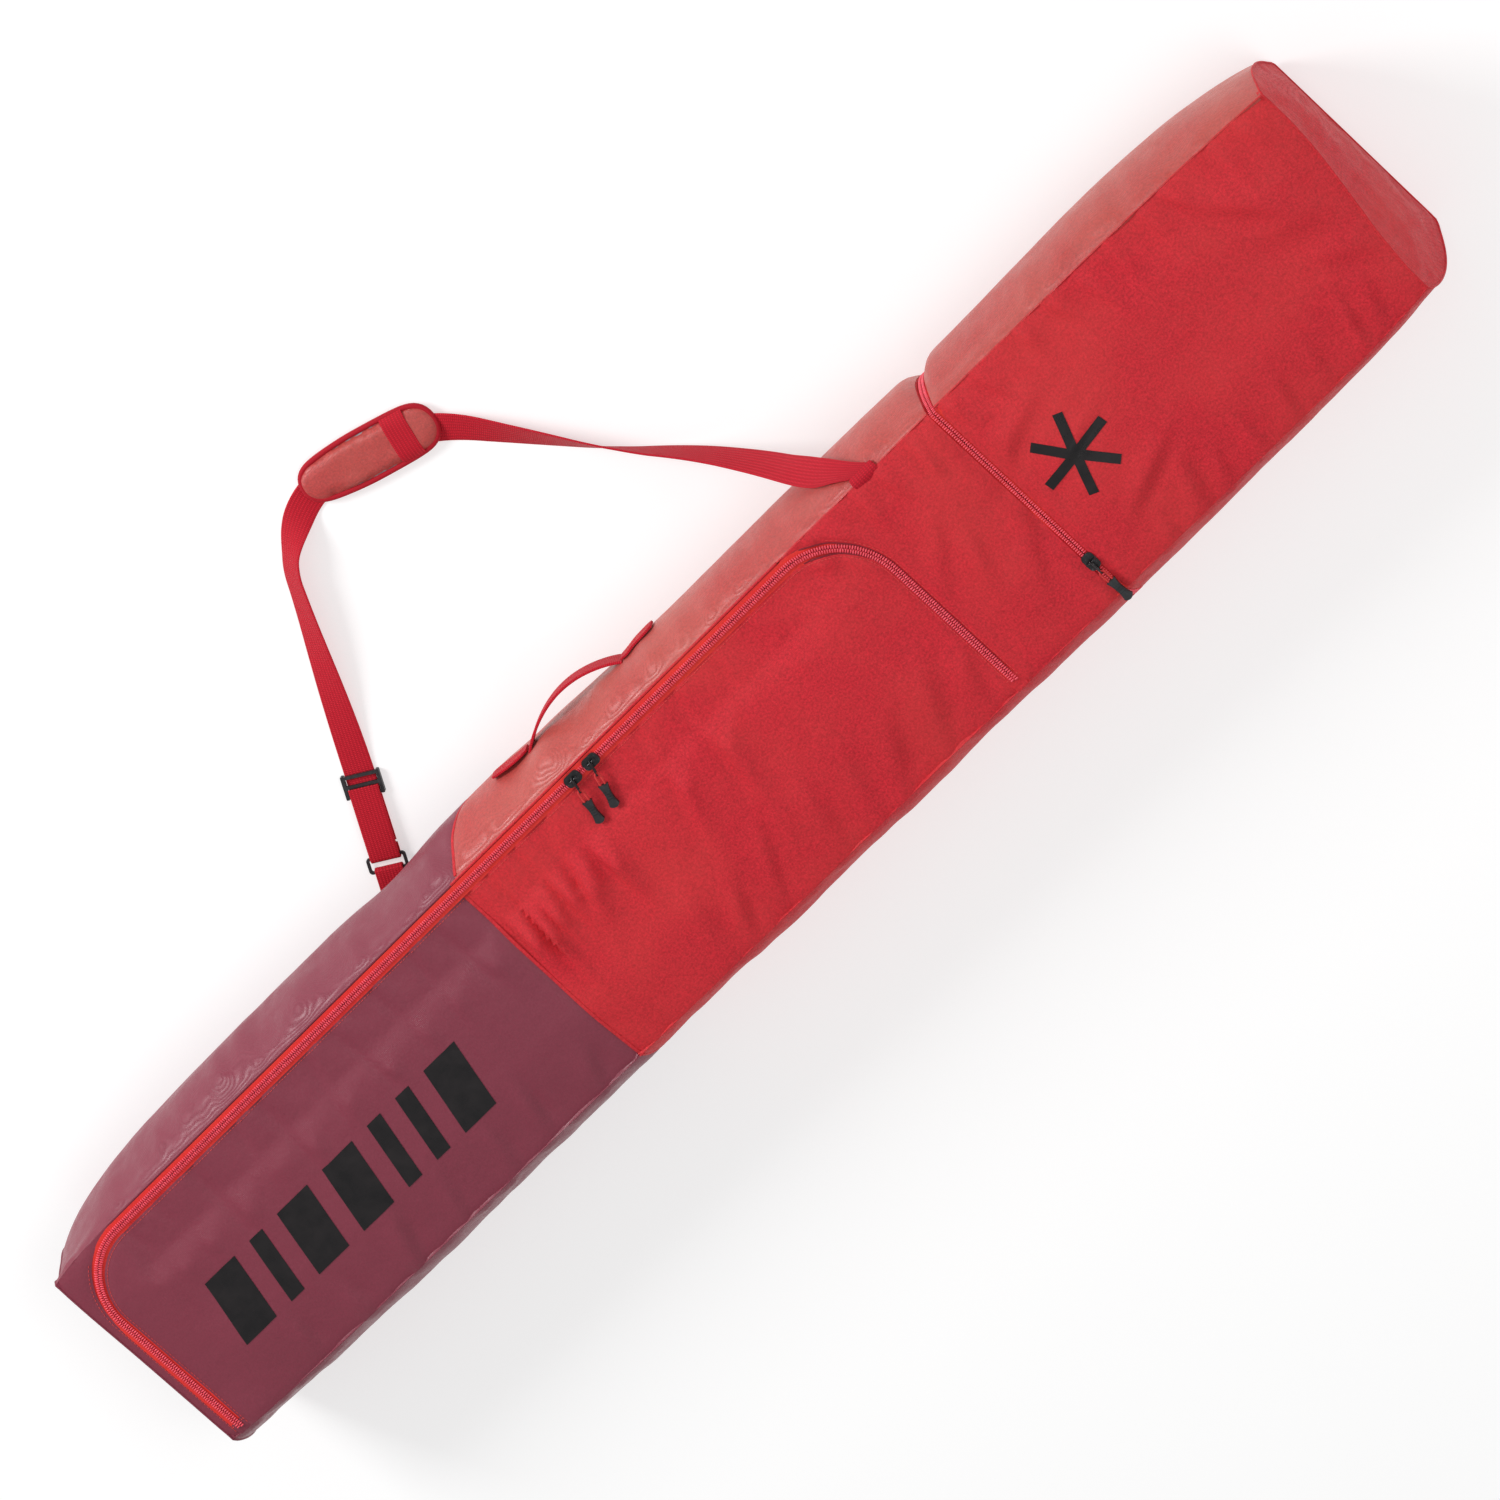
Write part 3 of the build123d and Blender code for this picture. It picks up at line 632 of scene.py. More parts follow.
def room_under_pulls(x, y):
    """Height that the front mustn't pass, so that the pulls clear it all along their travel."""
    room = 1.0
    for lows, highs in PULL_PATHS:
        beside = np.maximum(np.maximum(lows[0] - x, x - highs[0]), 0)
        beyond = np.maximum(np.maximum(lows[1] - y, y - highs[1]), 0)
        room = np.minimum(room, lows[2] - PULL_ROOM + PULL_SLOPE * np.hypot(beside, beyond))
    return room


def fold_relief(x, y):
    """Height of all the folds: each is steep on one side, with a groove beside it."""
    relief = 0.0
    for (cx, cy), heading, length, width, height in FOLDS:
        turn = math.radians(heading)
        along = (x - cx) * math.cos(turn) + (y - cy) * math.sin(turn)
        off = -(x - cx) * math.sin(turn) + (y - cy) * math.cos(turn) + 0.5 * along**2
        steep = max(width * 0.8, CELL * 1.1)
        ridge = np.where(off > 0, bell(off, width * 1.5), bell(off, steep))
        shape = ridge - 0.5 * bell(off + width * 1.6, width)
        relief = relief + height * shape * bell(along, length * 0.5)
    return relief


def softly_below(height, ceiling):
    """The lower of two heights, rounded where they cross."""
    over = height - ceiling
    return ceiling + 0.5 * (over - np.sqrt(over**2 + PULL_ROOM**2))


def front_height(x, y):
    """Height of the front: crowned, drawn down at seams and zips, with folds and puckers."""
    x, y = np.asarray(x, float), np.asarray(y, float)
    to_far, to_near = y - far_seam(x), near_seam(x) - y
    to_seam = np.minimum(to_far, to_near)
    to_end = from_ends(x)
    to_zip = np.where(y > Y_ZIP_END - 0.01, np.abs(zip_distance(x, y)), 0.05)
    to_zip = np.where(x > X_CROSS + 0.02, x - X_CROSS, to_zip)
    to_girth = np.abs(x - X_GIRTH)
    crown = 0.0075 * smooth(to_seam / 0.085) * smooth(to_end / 0.10 + 0.25)
    crown = crown * (0.05 + 0.95 * smooth(to_girth / 0.07)) * (0.1 + 0.9 * smooth(to_zip / 0.09))
    lower = 0.0022 * np.exp(-to_seam / 0.006) + 0.0035 * np.exp(-to_end / 0.009)
    lower = lower + 0.0012 * np.exp(-np.maximum(to_zip - 0.004, 0) / 0.004)
    cross = smooth((x - 0.18) / 0.08) * smooth((0.34 - x) / 0.04)
    ridge = 0.0026 * bell(to_zip - 0.012, 0.006) * cross
    ridge = ridge + 0.0028 * bell(to_girth - 0.0170, 0.0065) * smooth(to_near / 0.02)
    colour_groove = 0.0018 * bell(x - X_COLOUR, 0.0035)
    swell = 0.0024 * rumple(x / 0.17, y / 0.12, 3) + 0.0013 * rumple(x / 0.055, y / 0.07, 4)
    edge = np.exp(-to_seam / 0.020)
    puckers = 0.0015 * rumple(x / 0.017, np.sign(y) * 3.0, 5) * edge
    puckers = puckers + 0.0009 * rumple(y / 0.013, x * 0, 6) * np.exp(-to_girth / 0.03)
    relief = swell + puckers + FOLD_STRENGTH * fold_relief(x, y) + ridge
    near_zip = smooth((to_zip - 0.003) / 0.012)
    level = DEPTH - 0.0012 - lower - colour_groove
    raised = crown + relief * (0.25 + 0.75 * near_zip)
    raised = np.where(raised < 0, LOWEST_GROOVE * np.tanh(raised / LOWEST_GROOVE), raised)
    return softly_below(level + raised, room_under_pulls(x, y))


def gusset_point(x, t, side):
    """A point of a side gusset: t runs from the back's seam at 0 to the front's seam at 1."""
    x, t = np.broadcast_arrays(np.asarray(x, float), np.asarray(t, float))
    back = back_seam(x)
    front = near_seam(x) if side > 0 else -far_seam(x)
    arch = np.sin(np.pi * np.clip(t, 0, 1)) ** 0.74
    out = back + (front - back) * t + (fullness(x, side) - (back + front) / 2) * arch
    out = out - side_relief_cut(x, t, side)
    bottom = 0.0035
    z = bottom + (GUSSET_TOP - bottom) * t
    upper = 0.08 + 0.92 * smooth((t - 0.48) / 0.22)
    if side < 0:
        upper = 0.30 - 0.12 * smooth(x / 0.3)
    calm = 0.55 + 0.45 * smooth((0.42 - x) / 0.1)
    warp = 0.35 * rumple(x / 0.13, t * 2, 11 + side)
    relief = 0.0052 * rumple(x / 0.046 + warp + 0.5 * t, t * 1.3, 12 + side)
    relief = relief + 0.0029 * rumple(x / 0.020 + warp - 0.4 * t, t * 2.2, 14 + side)
    relief = 0.0012 + relief * calm * upper
    relief = relief + 0.0024 * rumple(x / 0.23, t * 0.8, 17 + side)
    seam_gap = np.minimum(t, 1 - t) * 0.16
    puckers = 0.0020 * rumple(x / 0.014, np.round(t) * 5.0, 18 + side) * np.exp(-seam_gap / 0.018)
    puckers = puckers * (t > 0.5)
    inward = smooth(seam_gap / 0.02)
    out = out + (relief - 0.0022) * inward + puckers * smooth(seam_gap / 0.006)
    return np.stack([x, side * out, z], axis=-1)


def side_relief_cut(x, t, side):
    """Where the gusset is drawn in: under the carry handle and at the colour seam."""
    cut = 0.0022 * bell(x - colour_line(t, side), 0.004)
    if side > 0:
        under_handle = np.exp(-(((x + 0.054) / 0.085) ** 6)) * bell(t - 0.6, 0.24)
        cut = cut + 0.0060 * under_handle
    return cut


def colour_line(t, side):
    """Where the burgundy cloth meets the red cloth on a gusset."""
    return X_COLOUR + 0.008 + (1 - t) * 0.085 if side > 0 else X_COLOUR + (1 - t) * 0.030


# ---- shell panels --------------------------------------------------------------------------------
GUSSET_STEPS = np.linspace(0, 1, 35)


def gusset(name, side, start, end, finish, body, stands_for):
    """A side gusset between two lines across it, each given as its x at every gusset step."""
    middle = len(GUSSET_STEPS) // 2
    rows = math.ceil(float(end[middle] - start[middle]) / CELL)
    share = np.linspace(0, 1, rows)[:, None]
    x = start[None, :] * (1 - share) + end[None, :] * share
    points = gusset_point(x, np.broadcast_to(GUSSET_STEPS, x.shape), side).reshape(-1, 3)
    skin = grid_faces(rows, len(GUSSET_STEPS), flip=side < 0)
    points, faces = thickened(slanted(points), skin, SHELL_T)
    return piece(name, points, faces, finish, body, stands_for, lined=len(skin))


def front_panel(name, outline, finish, body, stands_for, raised=0.0, thickness=SHELL_T, step=CELL):
    """A piece of the front that fills an outline in x and y."""
    flat, faces = filled(outline, step)
    height = front_height(flat[:, 0], flat[:, 1]) + raised
    points, walls = thickened(slanted(np.column_stack([flat, height])), faces, thickness)
    lined = 0 if finish == "print" else len(faces)
    return piece(name, points, walls, finish, body, stands_for, lined=lined)


def back_panel(name, x0, x1, finish, body, stands_for):
    """The bag's underside, flat where it rests and turned up towards its seams."""
    xs = np.arange(x0, x1 + 0.001, (x1 - x0) / math.ceil((x1 - x0) / 0.012))
    share = np.linspace(-1, 1, 41)
    x, s = np.meshgrid(xs, share, indexing="ij")
    y = s * back_seam(x)
    edge = np.minimum(back_seam(x) - np.abs(y), from_ends(x))
    z = 0.0006 + 0.0029 * np.exp(-edge / 0.007) + 0.0006 * (1 + rumple(x / 0.06, y / 0.05, 21))
    points = np.stack([x, y, z], axis=-1).reshape(-1, 3)
    points, faces = thickened(slanted(points), grid_faces(len(xs), len(share)), SHELL_T)
    return piece(name, points, faces, finish, body, stands_for)


def end_cap(name, x, outwards, finish, body, stands_for):
    """The panel that closes an end of the bag, a little domed."""
    ts = np.linspace(0, 1, 30)
    handle = gusset_point(x, ts, 1)[:, 1:]
    far = gusset_point(x, ts[::-1], -1)[:, 1:]
    ys = np.linspace(far_seam(x), near_seam(x), 40)[1:-1]
    front = np.column_stack([ys, front_height(np.full(len(ys), x), ys)])
    outline = np.vstack([handle, front[::-1], far])
    flat, faces = filled(outline, 0.006)
    rim = spaced(outline, 0.006)
    edge = np.min(np.linalg.norm(flat[:, None] - rim[None], axis=2), axis=1)
    dome = 0.009 * smooth(edge / 0.06) + 0.0016 * rumple(flat[:, 0] / 0.03, flat[:, 1] / 0.05, 23)
    puckers = 0.0014 * rumple(flat[:, 0] / 0.012, flat[:, 1] / 0.012, 24) * np.exp(-edge / 0.015)
    bulge = (dome + puckers) * smooth(edge / 0.008)
    points = np.column_stack([x + outwards * bulge, flat])
    if outwards < 0:
        faces = [face[::-1] for face in faces]
    points, faces = thickened(slanted(points), faces, SHELL_T)
    return piece(name, points, faces, finish, body, stands_for)


def zip_route(step):
    """Places along the main zip's middle line, foot to head, and their directions off the lid."""
    x0, x1, top = X_FOOT_ZIP, X_CROSS, Y_ZIP
    turns = np.linspace(0, math.pi / 2, 40)
    runs = [
        (np.linspace((x0, Y_ZIP_END), (x0, top - R_FOOT), 60), np.tile((-1.0, 0.0), (60, 1))),
        (
            np.column_stack([x0 + R_FOOT * (1 - np.cos(turns)), top - R_FOOT * (1 - np.sin(turns))]),
            np.column_stack([-np.cos(turns), np.sin(turns)]),
        ),
        (np.linspace((x0 + R_FOOT, top), (x1 - R_CROSS, top), 300), np.tile((0.0, 1.0), (300, 1))),
        (
            np.column_stack([x1 - R_CROSS * (1 - np.sin(turns)), top - R_CROSS * (1 - np.cos(turns))]),
            np.column_stack([np.sin(turns), np.cos(turns)]),
        ),
        (np.linspace((x1, top - R_CROSS), (x1, Y_ZIP_END), 60), np.tile((1.0, 0.0), (60, 1))),
    ]
    line = np.vstack([run for run, _ in runs])
    off = np.vstack([direction for _, direction in runs])
    reach = reach_along(line)
    stops = np.linspace(0, reach[-1], round(reach[-1] / step))
    return resampled(line, reach, stops), unit(resampled(off, reach, stops))


def zip_gap(line, off):
    """Half the width that the cloth leaves open over the main zip, at each place."""
    straight = np.maximum(off[:, 1], 0) ** 2
    across = np.where(line[:, 0] < -0.3, 0.0058, 0.0034)
    return across + (0.0076 - across) * straight


def zip_edge(side, step=0.004):
    """The cloth's edge along the main zip: side -1 for the lid and 1 for the base."""
    line, off = zip_route(step)
    return line + side * off * zip_gap(line, off)[:, None]


def along_seam(seam, x0, x1, step=0.006):
    """Places in x and y along one of the seams."""
    xs = np.linspace(x0, x1, max(2, math.ceil(abs(x1 - x0) / step)))
    return np.column_stack([xs, seam(xs)])


def build_lid():
    """The lid's two panels, which meet at the colour seam under a binding."""
    edge = zip_edge(-1)
    left = edge[edge[:, 0] < X_COLOUR - 0.002]
    right = edge[edge[:, 0] > X_COLOUR + 0.002]
    y_edge = edge[np.argmin(np.abs(edge[:, 0] - X_COLOUR)), 1]
    seam = (X_COLOUR, y_edge)
    burgundy = np.vstack([left, [seam], along_seam(far_seam, X_COLOUR, left[0, 0])])
    red = np.vstack([[seam], right, along_seam(far_seam, right[-1, 0], X_COLOUR)])
    front_panel("lid_front_burgundy", burgundy, "burgundy_cloth", "lid", ["lid_panel_burgundy"])
    front_panel("lid_front_red", red, "red_cloth", "lid", ["lid_panel_red"])
    ys = np.linspace(float(far_seam(X_COLOUR)) + 0.002, y_edge - 0.001, 60)
    xs = np.full(len(ys), X_COLOUR + 0.0022)
    line = np.column_stack([xs, ys, front_height(xs, ys) + 0.0006])
    strip("lid_colour_binding", line, ALONG_X, 0.0036, 0.0012, "red_cloth", "lid")


def build_base_front():
    """The front's two pieces that stay on the base: the foot's strip and the bridge."""
    edge = zip_edge(1)
    foot = edge[edge[:, 0] < X_FOOT_ZIP + R_FOOT][::-1]
    corner = (FOOT_EDGE, float(far_seam(FOOT_EDGE)))
    rim = along_seam(near_seam, FOOT_EDGE, foot[0, 0] - 0.003)
    back = along_seam(far_seam, foot[-1, 0], FOOT_EDGE)[:-1]
    outline = np.vstack([[corner], rim, foot, back])
    front_panel("foot_front", outline, "burgundy_cloth", "base", ["foot_front_strip"])
    cross = edge[edge[:, 0] > X_CROSS - R_CROSS]
    end = X_GIRTH - GIRTH_EDGE
    rim = along_seam(near_seam, end, cross[0, 0] + 0.003)
    bridge = np.vstack([cross, along_seam(far_seam, cross[-1, 0], end), rim])
    front_panel("bridge_front", bridge, "red_cloth", "base", ["bridge_panel"])


def build_gussets():
    """Both side gussets in their three pieces, with the binding over each colour seam."""
    foot = np.full_like(GUSSET_STEPS, FOOT_EDGE)
    head = np.full_like(GUSSET_STEPS, HEAD_EDGE)
    base_edge, head_edge = girth_edge(GUSSET_STEPS, -1), girth_edge(GUSSET_STEPS, 1)
    # The handle side's red pieces take the red cloth with painted sheen in its colour; the far side takes
    # the plain red cloth.
    for label, side, red in (("handle", 1, "sheen_painted_red_cloth"), ("far", -1, "red_cloth")):
        colour = colour_line(GUSSET_STEPS, side)
        for name, node, start, end, finish, body in (
            (f"{label}_side_burgundy", f"{label}_gusset_burgundy", foot, colour, "burgundy_cloth", "base"),
            (f"{label}_side_red", f"{label}_gusset_red", colour, base_edge, red, "base"),
            (f"head_{label}_side", f"head_{label}_gusset", head_edge, head, red, "head_section"),
        ):
            gusset(name, side, start, end, finish, body, [node])
        ts = np.linspace(0.02, 0.985, 40)
        x = colour_line(ts, side) + 0.0022
        line = gusset_point(x, ts, side) + np.array([0, side * 0.0008, 0])
        strip(f"{label}_colour_binding", line, ALONG_X, 0.0036, 0.0012, "red_cloth", "base")


def girth_edge(t, side):
    """The gussets' edge along the girth zip, which gapes more on the sides than on the front."""
    return X_GIRTH + side * (GIRTH_EDGE + 0.0012 * np.sin(np.pi * np.clip(t, 0, 1)))


def build_head_front():
    """The head section's front."""
    x0, x1 = X_GIRTH + GIRTH_EDGE, HEAD_EDGE
    outline = np.vstack([along_seam(far_seam, x0, x1), along_seam(near_seam, x1, x0)])
    front_panel("head_front", outline, "red_cloth", "head_section", ["head_front_panel"])


def build_backs_and_ends():
    """The underside and the panels that close both ends."""
    back_panel("back_burgundy", FOOT_EDGE, X_COLOUR, "burgundy_cloth", "base", ["back_panel"])
    back_panel("back_red", X_COLOUR, X_GIRTH - GIRTH_EDGE, "red_cloth", "base", ["back_panel"])
    back_panel(
        "head_back", X_GIRTH + GIRTH_EDGE, HEAD_EDGE, "red_cloth", "head_section", ["head_back_panel"]
    )
    end_cap("foot_end", FOOT_EDGE, -1, "burgundy_cloth", "base", ["foot_end_panel"])
    end_cap("head_end", HEAD_EDGE, 1, "red_cloth", "head_section", ["head_end_panel"])


def front_seam_line(seam, x0, x1, lift=-0.0012):
    """One of the front's long seams as a line at the gussets' upper edge."""
    xs = np.linspace(x0, x1, max(3, round(abs(x1 - x0) / 0.006)))
    ys = seam(xs)
    return slanted(np.column_stack([xs, ys, np.full(len(xs), GUSSET_TOP) + lift]))


def build_welts():
    """The rolled seams: a welt wherever two panels of the shell meet."""
    start, girth_low = FOOT_EDGE, X_GIRTH - GIRTH_EDGE
    girth_high, end = X_GIRTH + GIRTH_EDGE, HEAD_EDGE
    spans = [
        ("burgundy", start, X_COLOUR, "burgundy_cloth", "base"),
        ("red", X_COLOUR, girth_low, "red_cloth", "base"),
        ("head", girth_high, end, "red_cloth", "head_section"),
    ]
    for label, x0, x1, finish, body in spans:
        xs = np.linspace(x0, x1, round((x1 - x0) / 0.01))
        tube(f"far_welt_{label}", front_seam_line(far_seam, x0, x1), 0.0011, finish, body)
        for place, side in (("handle", 1), ("far", -1)):
            line = np.column_stack([xs, side * back_seam(xs), np.full(len(xs), 0.0030)])
            tube(f"back_welt_{place}_{label}", line, 0.0014, finish, body)
    binding = front_seam_line(near_seam, X_FOOT_ZIP + R_FOOT, X_CROSS - R_CROSS, 0.0)
    left, right = binding[binding[:, 0] <= X_COLOUR + 0.006], binding[binding[:, 0] >= X_COLOUR]
    tube("zip_binding_burgundy", left, 0.0015, "burgundy_cloth", "base", ["zip_edge_binding"])
    tube("zip_binding_red", right, 0.0015, "red_cloth", "base", ["zip_edge_binding"])
    foot_corner = front_seam_line(near_seam, start, X_FOOT_ZIP + R_FOOT)
    bridge = front_seam_line(near_seam, X_CROSS - R_CROSS, girth_low)
    head = front_seam_line(near_seam, girth_high, end)
    tube("handle_welt_foot", foot_corner, 0.0011, "burgundy_cloth", "base")
    tube("handle_welt_bridge", bridge, 0.0011, "red_cloth", "base")
    tube("handle_welt_head", head, 0.0011, "red_cloth", "head_section")
    for label, x, finish, body in (
        ("foot", start, "burgundy_cloth", "base"),
        ("head", end, "red_cloth", "head_section"),
    ):
        tube(f"{label}_end_welt", ring_line(x, 0.0), 0.0012, finish, body, closed=True)


def slanted(points):
    """Shell points with the head's end drawn in at its far upper corner."""
    points = np.array(points, float)
    x, y, z = points.T
    share = smooth((x - 0.72) / 0.15) * smooth((0.10 - y) / 0.22) * np.clip(z / DEPTH, 0, 1)
    points[:, 0] = x - 0.021 * share + 0.004 * smooth((x - 0.80) / 0.07) * (1 - share)
    return points


def ring_line(x, inset, gape=0.0):
    """The bag's outline across x as a closed line, drawn in by inset; gape moves its sides along x."""
    ts = np.linspace(0, 1, 26)
    sides = x + gape * np.sin(np.pi * ts)
    handle, far = gusset_point(sides, ts, 1), gusset_point(sides[::-1], ts[::-1], -1)
    ys = np.linspace(float(near_seam(x)), float(far_seam(x)), 28)[1:-1]
    front = np.column_stack([np.full(len(ys), x), ys, front_height(np.full(len(ys), x), ys)])
    back_y = np.linspace(-float(back_seam(x)), float(back_seam(x)), 24)[1:-1]
    back = np.column_stack([np.full(len(back_y), x), back_y, np.full(len(back_y), 0.0030)])
    line = slanted(np.vstack([handle, front, far, back]))
    if inset:
        apart = line - np.array([0.0, 0.0, DEPTH / 2])
        apart[:, 0] = 0
        line = line - unit(apart) * inset
    return line


# ---- zips ----------------------------------------------------------------------------------------
def build_main_zip():
    """The main zip's two rows of teeth, each on its own half, and stitches along its edges."""
    line, off = zip_route(TOOTH_PITCH / 2)
    z = (TAPE_TOP + COIL_TOP) / 2
    size = (0.0042, 0.0019, COIL_TOP - TAPE_TOP)
    for label, side, start in (("lid", -1, 0), ("base", 1, 1)):
        places = line[start::2] + side * off[start::2] * 0.0021
        places = np.column_stack([places, np.full(len(places), z)])
        along = np.column_stack([off[start::2], np.zeros(len(places))])
        node = f"main_zip_coil_{label}"
        repeated(f"main_zip_teeth_{label}", places, along, UP, size, "zip_coil", label, [node])
        stitch_edge(f"main_zip_stitches_{label}", side, label)
        garage_welt(f"cross_zip_piping_{label}", side, label)
    build_zip_ends()


def garage_welt(name, side, body):
    """The dark piping that nearly closes over the zip where it crosses the front."""
    line = zip_edge(side, 0.005)
    line = line[line[:, 0] > X_CROSS - R_CROSS * 0.8]
    z = front_height(line[:, 0], line[:, 1]) - 0.0002
    tube(name, np.column_stack([line, z]), 0.0011, "piping", body)


def build_zip_ends():
    """The stitched tab that closes the main zip at each of its ends."""
    for label, x, finish in (("foot", X_FOOT_ZIP, "burgundy_cloth"), ("cross", X_CROSS, "red_cloth")):
        ys = np.linspace(Y_ZIP_END + 0.007, float(far_seam(x)) - 0.0005, 12)
        xs = np.full(len(ys), x)
        line = np.column_stack([xs, ys, front_height(xs, ys) + 0.0010])
        strip(f"{label}_zip_end_tab", line, ALONG_X, 0.017, 0.0016, finish, "base", ends=0.2)
        row = x + np.linspace(-0.0065, 0.0065, 5)
        places = np.column_stack([row, np.full(5, ys[2]), np.full(5, line[2, 2] + 0.0009)])
        name = f"{label}_zip_end_stitches"
        repeated(name, places, ALONG_X, UP, SHORT_STITCH, "thread", "base")


def stitch_edge(name, side, body):
    """Stitches just inside the cloth's edge along the main zip."""
    line, off = zip_route(0.0042)
    places = line + side * off * (zip_gap(line, off) + 0.0030)[:, None]
    if side > 0:
        keep = np.abs(off[:, 1]) < 0.8
        line, off, places = line[keep], off[keep], places[keep]
    z = front_height(places[:, 0], places[:, 1]) + 0.0002
    along = np.column_stack([-off[:, 1], off[:, 0], np.zeros(len(off))])
    repeated(name, np.column_stack([places, z]), along, UP, LONG_STITCH, "thread", body)


BACK_HALF, WIDEST_HALF, FRONT_HALF = 0.118, 0.150, 0.130    # half widths of the CAD's cross-section
WIDEST_HEIGHT = 0.070


def cad_outline(inset, count):
    """The CAD outline across X at an inset: even places and the directions outwards."""
    back, widest = (BACK_HALF - inset, inset), (WIDEST_HALF - inset, WIDEST_HEIGHT)
    right = arc_through(back, widest, (FRONT_HALF - inset, DEPTH - inset), 80)
    left = right[::-1] * np.array([-1, 1])
    loop = np.vstack([right, left, right[:1]])
    reach = reach_along(loop)
    line = resampled(loop, reach, np.linspace(0, reach[-1], count, endpoint=False))
    heading = unit(np.roll(line, -1, axis=0) - np.roll(line, 1, axis=0))
    return line, np.column_stack([heading[:, 1], -heading[:, 0]])


def arc_through(a, b, c, count):
    """Points on the arc from a to c through b."""
    (ax, ay), (bx, by), (cx, cy) = a, b, c
    scale = 2 * (ax * (by - cy) + bx * (cy - ay) + cx * (ay - by))
    squares = [px * px + py * py for px, py in (a, b, c)]
    ux = (squares[0] * (by - cy) + squares[1] * (cy - ay) + squares[2] * (ay - by)) / scale
    uy = (squares[0] * (cx - bx) + squares[1] * (ax - cx) + squares[2] * (bx - ax)) / scale
    start, end = math.atan2(ay - uy, ax - ux), math.atan2(cy - uy, cx - ux)
    turns = np.linspace(start, end, count)
    radius = math.hypot(ax - ux, ay - uy)
    return np.column_stack([ux + radius * np.cos(turns), uy + radius * np.sin(turns)])


def build_girth_zip():
    """Teeth around the bag, the half that belongs to the base and the half on the head."""
    round_the_bag = 0.84
    line, out = cad_outline(0.0018, round(round_the_bag / (TOOTH_PITCH / 2)) // 2 * 2)
    for label, side, body, start in (("base", -1, "base", 0), ("head", 1, "head_section", 1)):
        places = line[start::2]
        count = len(places)
        places = np.column_stack([np.full(count, X_GIRTH + side * 0.0021), places])
        outwards = np.column_stack([np.zeros(count), out[start::2]])
        name, node = f"girth_zip_teeth_{label}", f"girth_zip_coil_{label}"
        size = (0.0038, 0.0016, 0.0017)
        repeated(name, places, ALONG_X, outwards, size, "zip_coil", body, [node])
        rolled = ring_line(X_GIRTH + side * (GIRTH_EDGE + 0.0005), 0.0021, side * 0.0012)
        tube(f"girth_edge_{label}", rolled, 0.0013, "red_cloth", body, closed=True)


def build_expansion():
    """The pleat inside the girth zip, from the base's side to the head's side."""
    x0, x1 = X_GIRTH - 0.026, X_GIRTH + 0.009
    stations = np.linspace(x0, x1, 60)
    line, out = cad_outline(0.0082, 200)
    rows = []
    for k, x in enumerate(stations):
        share = k / (len(stations) - 1)
        pleat = 0.0012 * math.cos(share * 14 * math.pi) * smooth(min(share, 1 - share) * 6)
        ripple = 0.0004 * rumple(np.arange(200) / 7.0, k / 9.0, 31)
        places = line - out * (pleat + ripple)[:, None]
        rows.append(np.column_stack([np.full(len(places), x), places]))
    rows = np.array([np.vstack([row, row[:1]]) for row in rows])
    points, faces = thickened(rows.reshape(-1, 3), grid_faces(60, 201, flip=True), 0.0012)
    made = piece("expansion_sleeve", points, faces, "red_cloth", None, ["expansion_gusset"])
    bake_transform(made)


# ---- inside --------------------------------------------------------------------------------------
def rounded_box(x0, y0, x1, y1, corner):
    """The outline of a rectangle with rounded corners."""
    outline = []
    middles = [
        (x1 - corner, y1 - corner), (x0 + corner, y1 - corner),
        (x0 + corner, y0 + corner), (x1 - corner, y0 + corner),
    ]
    for quarter, (cx, cy) in enumerate(middles):
        for turn in np.linspace(0, math.pi / 2, 7) + quarter * math.pi / 2:
            outline.append((cx + corner * math.cos(turn), cy + corner * math.sin(turn)))
    return np.array(outline)


def soft_layer(name, node, finish, body, outline=None, channels=0.0, down=False):
    """A foam or lining layer in the space of its CAD solid, with sewn channels across it.

    Its finished face is its upper one, or its lower one where down is true.
    """
    (x0, y0, z0), (x1, y1, z1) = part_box(node)
    if outline is None:
        outline = rounded_box(x0, y0, x1, y1, 0.012)
    flat, faces = filled(outline, 0.011)
    rim = spaced(outline, 0.02)
    edge = np.min(np.linalg.norm(flat[:, None] - rim[None], axis=2), axis=1)
    sunk = 0.0004 * np.exp(-edge / 0.006)
    if channels:
        seam = np.abs((flat[:, 0] - x0 + channels / 2) % channels - channels / 2)
        sunk = sunk + 0.0006 * np.exp(-seam / 0.005)
    z = z0 + sunk if down else z1 - sunk
    if down:
        faces = [face[::-1] for face in faces]
    points, faces = thickened(np.column_stack([flat, z]), faces, (z1 - z0) * (0.6 if down else 0.9))
    return piece(name, points, faces, finish, body, [node])


def lid_outline(margin):
    """The outline of a layer inside the lid: the main zip's line drawn in by a margin."""
    line, off = zip_route(0.012)
    edge = line - off * margin
    floor = -0.130 + margin
    edge = edge[edge[:, 1] > floor]
    return np.vstack([[(edge[0, 0], floor)], edge, [(edge[-1, 0], floor)]])


